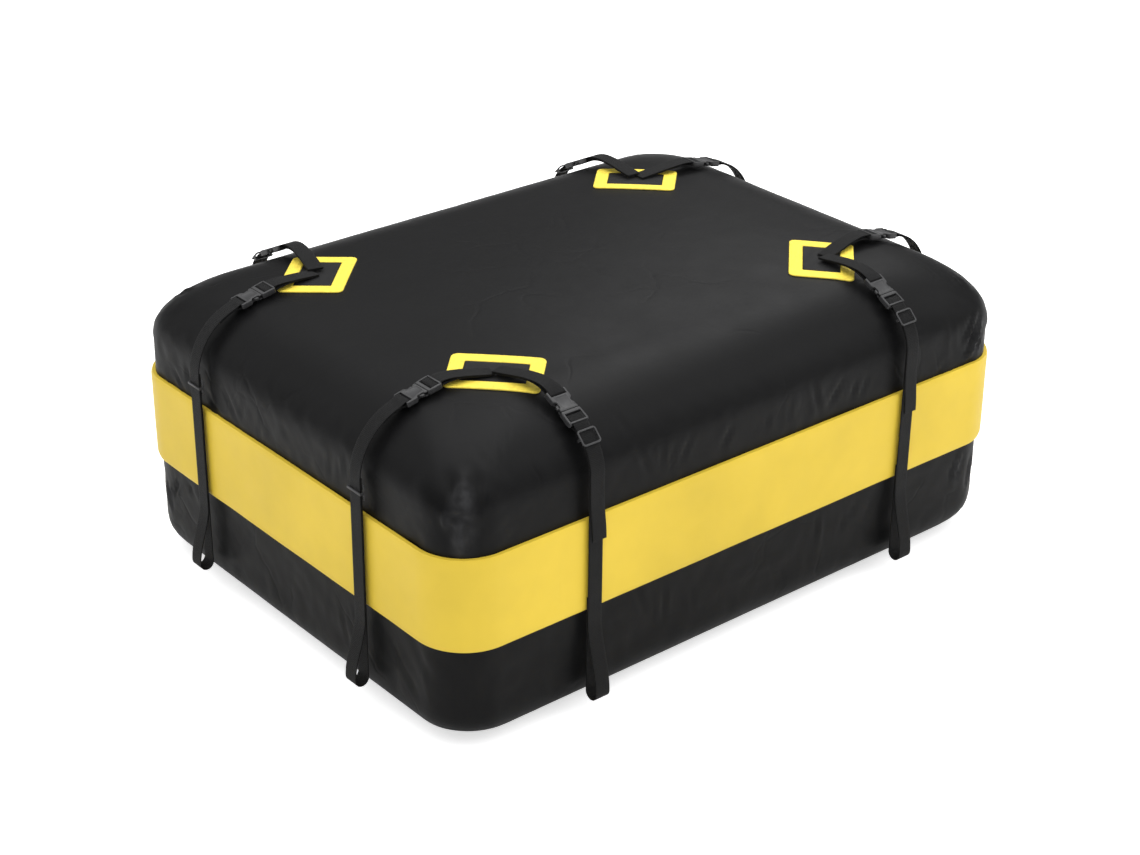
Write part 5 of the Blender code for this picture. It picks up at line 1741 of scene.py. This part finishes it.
def plug_piece():
    """The entering half: two sprung arms with lugs, a guide tongue and a ladder lock."""
    sizes = settings("buckles")
    wide = sizes.slot_half + sizes.rail
    thick = sizes.half_thickness
    half = [(sizes.plug_start, wide - 0.0034)]
    half += arc_points((sizes.plug_start + 0.0024, wide - 0.0026), 0.0024, 180, 90)
    half += [(sizes.window_start + 0.0010, wide)]
    half += [(sizes.window_end - 0.0040, wide + 0.0004)]
    half += arc_points((sizes.plug_end - 0.0034, wide - 0.0030), 0.0034, 90, 0)
    body = slab("plug_form", mirrored(half), -thick, thick, 0.0012, 3)
    slot = sizes.slot_half
    low = (sizes.window_start, -slot, -2 * thick)
    join_shape(body, "DIFFERENCE", block("plug_window", low, (sizes.window_end, slot, 2 * thick)))
    for side in (-1, 1):
        low, high = sorted((side * (sizes.bar_radius - 0.0001), side * 2 * thick))
        start, end = sizes.window_end - 0.0005, sizes.plug_end + 0.003
        join_shape(body, "DIFFERENCE", block("plug_relief", (start, -slot, low), (end, slot, high)))
    soften(body, CASE_EDGE, 35)
    reach = slot + sizes.rail / 2
    add_bar(body, sizes.plug_bar, reach)
    ends = (sizes.window_end + 0.0002, sizes.plug_end - 0.0008)
    outline = ((ends[0], -reach), (ends[1], -reach), (ends[1], reach), (ends[0], reach))
    join_shape(body, "UNION", slab("plug_bridge", outline, 0.00395, 0.00485, 0.0003))
    root = sizes.plug_start + 0.002
    inner = wide - PRONG_INSET
    outer = inner + PRONG_WIDTH
    lug = wide - LUG_INSET
    tall = thick - 0.0024
    arm = [(root, inner), (root, outer)]
    arm += [(PRONG_TIP + 0.0098, outer + 0.0004)]
    arm += arc_points((PRONG_TIP + 0.0080, lug - 0.0012), 0.0012, 0, 90, 4)
    arm += [(PRONG_TIP + 0.0048, lug - 0.0005)]
    arm += [(PRONG_TIP + 0.0006, outer - 0.0002), (PRONG_TIP, outer - 0.0010)]
    arm += [(PRONG_TIP, inner + 0.0015), (PRONG_TIP + 0.0015, inner)]
    for side in (-1, 1):
        outline = [(x, side * y) for x, y in arm]
        if side > 0:
            outline.reverse()
        join_shape(body, "UNION", slab("plug_arm", outline, -tall, tall, PRONG_EDGE))
    tip = PRONG_TIP + 0.004
    outline = [(tip, -0.0014), (root, -0.0020), (root, 0.0020), (tip, 0.0014)]
    join_shape(body, "UNION", slab("plug_tongue", outline, -tall, tall, PRONG_EDGE))
    face_outwards(body)
    shade(body, 35)
    dress(body, FINISHES["plastic"])
    return body


def tri_glide_piece():
    """A ring over the webbing and a centre bar under it.

    Local X runs along the strap, Z from the bar to the ring.
    """
    straps, sizes = settings("straps"), settings("buckles")
    half_length = sizes.glide_length / 2
    half_width = sizes.slot_half + sizes.glide_rail
    near = straps.pitch / 2 + 0.00075 + 0.0003
    far = near + sizes.glide_plate
    outline = rectangle_path(half_length, half_width, 0.0046, 1, 7)
    ring = slab("glide_ring", outline, near, far, 0.0007, 3)
    opening = rectangle_path(half_length - sizes.glide_end_bar, sizes.slot_half, 0.0022, 1, 5)
    join_shape(ring, "DIFFERENCE", slab("glide_hole", opening, 0, 2 * far))
    soften(ring, 0.0004, 50)
    bar_half = sizes.glide_centre_bar / 2
    reach = half_width - 0.0001
    bar_outline = rectangle_path(bar_half, reach, 0.0008, 1, 3)
    bar = slab("glide_bar", bar_outline, -far, -near, 0.0005)
    join_shape(ring, "UNION", bar)
    for side in (-1, 1):
        y = sorted((side * sizes.slot_half, side * reach))
        post = block("glide_post", (-bar_half, y[0], -far + 0.0003), (bar_half, y[1], far - 0.0003))
        join_shape(ring, "UNION", post)
    face_outwards(ring)
    shade(ring, 35)
    dress(ring, FINISHES["plastic"])
    return ring


class CARRIER_OT_buckles(Operator):
    """Make the side-release buckles"""

    bl_idname = "carrier.buckles"
    bl_label = "Buckles"

    def execute(self, context):
        makers = {"socket": socket_piece(), "plug": plug_piece()}
        for corner in CORNERS:
            for kind in KINDS:
                line = StrapLine(kind, corner)
                matrix = line.matrix(line.buckle_q(0), kind == "end")
                for part, source in makers.items():
                    piece = copy_piece(source, f"{kind}_buckle_{part}_{corner}", matrix)
                    settle(piece, f"{kind}_{part}_{corner}")
        for source in makers.values():
            discard(source)
        return {"FINISHED"}


class CARRIER_OT_tri_glides(Operator):
    """Make the tri-glides on the long straps"""

    bl_idname = "carrier.tri_glides"
    bl_label = "Tri-glides"

    def execute(self, context):
        sizes = settings("buckles")
        source = tri_glide_piece()
        for corner in CORNERS:
            for kind in KINDS:
                line = StrapLine(kind, corner)
                on_side = kind == "side"
                turn_q = line.radius * (sizes.side_glide_angle - line.slope)
                q = turn_q if on_side else line.q_at_height(sizes.end_glide_height)
                piece = copy_piece(source, f"{kind}_glide_{corner}", line.matrix(q, False, not on_side))
                settle(piece, f"{kind}_tri_glide_{corner}")
        discard(source)
        return {"FINISHED"}


class CARRIER_OT_zip(Operator):
    """Finish the zip and the strip that the lid turns on, which keep the frame's own shapes"""

    bl_idname = "carrier.zip"
    bl_label = "Zip"

    def execute(self, context):
        finishes = {
            "zip_chain": "tape",
            "lid_hinge_strip": "tarpaulin",
            "zip_slider_left": "metal",
            "zip_slider_right": "metal",
            "zip_pull_left": "metal",
            "zip_pull_right": "metal",
        }
        for node, finish in finishes.items():
            dress(frame["nodes"][node], FINISHES[finish])
        return {"FINISHED"}


# Studio


def softbox(name, place, size, power):
    """A large area light aimed at the bag's middle."""
    light = bpy.data.lights.new(name, "AREA")
    light.shape = "RECTANGLE"
    light.size, light.size_y = size
    light.energy = power
    lamp = bpy.data.objects.new(name, light)
    lamp.location = place
    lamp.rotation_euler = (Vector(LIGHT_TARGET) - Vector(place)).to_track_quat("-Z", "Y").to_euler()
    bpy.context.scene.collection.objects.link(lamp)


# Each light: its place, its size and its power in watts; all are aimed at the bag's middle
LIGHT_TARGET = (0.0, 0.0, 0.3)
SOFTBOXES = (
    ("top_light", (0.3, 0.3, 3.0), (2.5, 2.5), 22.0),
    ("right_light", (2.4, 1.6, 2.6), (1.4, 1.4), 12.0),
    ("front_light", (2.1, -2.3, 2.0), (2.8, 2.8), 25.0),
    ("camera_light", (-2.4, -2.9, 1.7), (2.4, 1.6), 8.0),
    ("left_light", (-2.3, 2.3, 1.6), (2.0, 2.0), 9.0),
)


class CARRIER_OT_stage(Operator):
    """Set the floor, the lights and the camera"""

    bl_idname = "carrier.stage"
    bl_label = "Stage"

    def execute(self, context):
        stage, colours = settings("stage"), settings("finish")
        deselect()
        bpy.ops.mesh.primitive_plane_add(size=stage.floor_size, location=(0, 0, -0.0005))
        floor = started("studio_floor")
        activate(floor)
        bpy.ops.object.transform_apply(location=True, rotation=True, scale=True)
        paper = Finish("floor_paper", colours.floor, roughness=0.7, Specular_IOR_Level=0.0)
        uneven = paper.group("cloudy", paper.place(), Scale=0.6, Darkest=0.985, Lightest=1.015)
        paper.tint(uneven["Tone"])
        paper.glow(stage.glow)
        dress(floor, paper.made)
        self.light(stage)
        self.aim(stage)
        return {"FINISHED"}

    def light(self, stage):
        world = bpy.data.worlds.new("soft_surroundings")
        world.use_nodes = True
        tree = world.node_tree
        background = tree.nodes["Background"]
        background.inputs["Color"].default_value = (1.0, 1.0, 1.0, 1.0)
        ways = tree.nodes.new("ShaderNodeTexCoord")
        split = tree.nodes.new("ShaderNodeSeparateXYZ")
        tree.links.new(ways.outputs["Generated"], split.inputs[0])
        strength = range_node(tree, split.outputs["Z"], 0.33, 1.0, stage.horizon, stage.zenith)
        tree.links.new(strength, background.inputs["Strength"])
        bpy.context.scene.world = world
        bpy.context.scene.view_settings.view_transform = "Standard"
        for name, place, size, power in SOFTBOXES:
            softbox(name, place, size, power)

    def aim(self, stage):
        yaw, pitch, roll = stage.camera_yaw, stage.camera_pitch, stage.camera_roll
        ahead = Vector((math.sin(yaw), math.cos(yaw), 0))
        forward = ahead * math.cos(pitch) - Vector((0, 0, math.sin(pitch)))
        level = Vector((math.cos(yaw), -math.sin(yaw), 0))
        upright = level.cross(forward)
        right = level * math.cos(roll) + upright * math.sin(roll)
        up = upright * math.cos(roll) - level * math.sin(roll)
        data = bpy.data.cameras.new("photo_camera")
        data.sensor_width = 36
        data.lens = stage.camera_lens
        camera = bpy.data.objects.new("photo_camera", data)
        camera.matrix_world = Matrix((right, up, -forward)).transposed().to_4x4()
        camera.location = stage.camera_place
        bpy.context.scene.collection.objects.link(camera)
        bpy.context.scene.camera = camera


# Sidebar and registration


class CARRIER_PT_panel(Panel):
    """Lists the steps that dress the carrier"""

    bl_idname = "CARRIER_PT_panel"
    bl_label = "Rooftop cargo carrier"
    bl_space_type = "VIEW_3D"
    bl_region_type = "UI"
    bl_category = "Carrier"

    def draw(self, context):
        for step in STEPS:
            self.layout.operator(step.bl_idname, text=step.bl_label)


STEPS = (
    CARRIER_OT_finishes,
    CARRIER_OT_shells,
    CARRIER_OT_band,
    CARRIER_OT_patches,
    CARRIER_OT_webbing,
    CARRIER_OT_buckles,
    CARRIER_OT_tri_glides,
    CARRIER_OT_zip,
    CARRIER_OT_stage,
)
GROUPS_OF_SETTINGS = {
    "bag": CarrierBag,
    "cloth": CarrierCloth,
    "straps": CarrierStraps,
    "buckles": CarrierBuckles,
    "finish": CarrierFinish,
    "stage": CarrierStage,
}


def register():
    for name, group in GROUPS_OF_SETTINGS.items():
        bpy.utils.register_class(group)
        setattr(bpy.types.Scene, f"carrier_{name}", PointerProperty(type=group))
    for step in (*STEPS, CARRIER_PT_panel):
        bpy.utils.register_class(step)


def unregister():
    for step in reversed((*STEPS, CARRIER_PT_panel)):
        bpy.utils.unregister_class(step)
    for name, group in reversed(GROUPS_OF_SETTINGS.items()):
        delattr(bpy.types.Scene, f"carrier_{name}")
        bpy.utils.unregister_class(group)


def main():
    register()
    for step in STEPS:
        area, action = step.bl_idname.split(".")
        getattr(getattr(bpy.ops, area), action)()


if __name__ == "__main__":
    main()
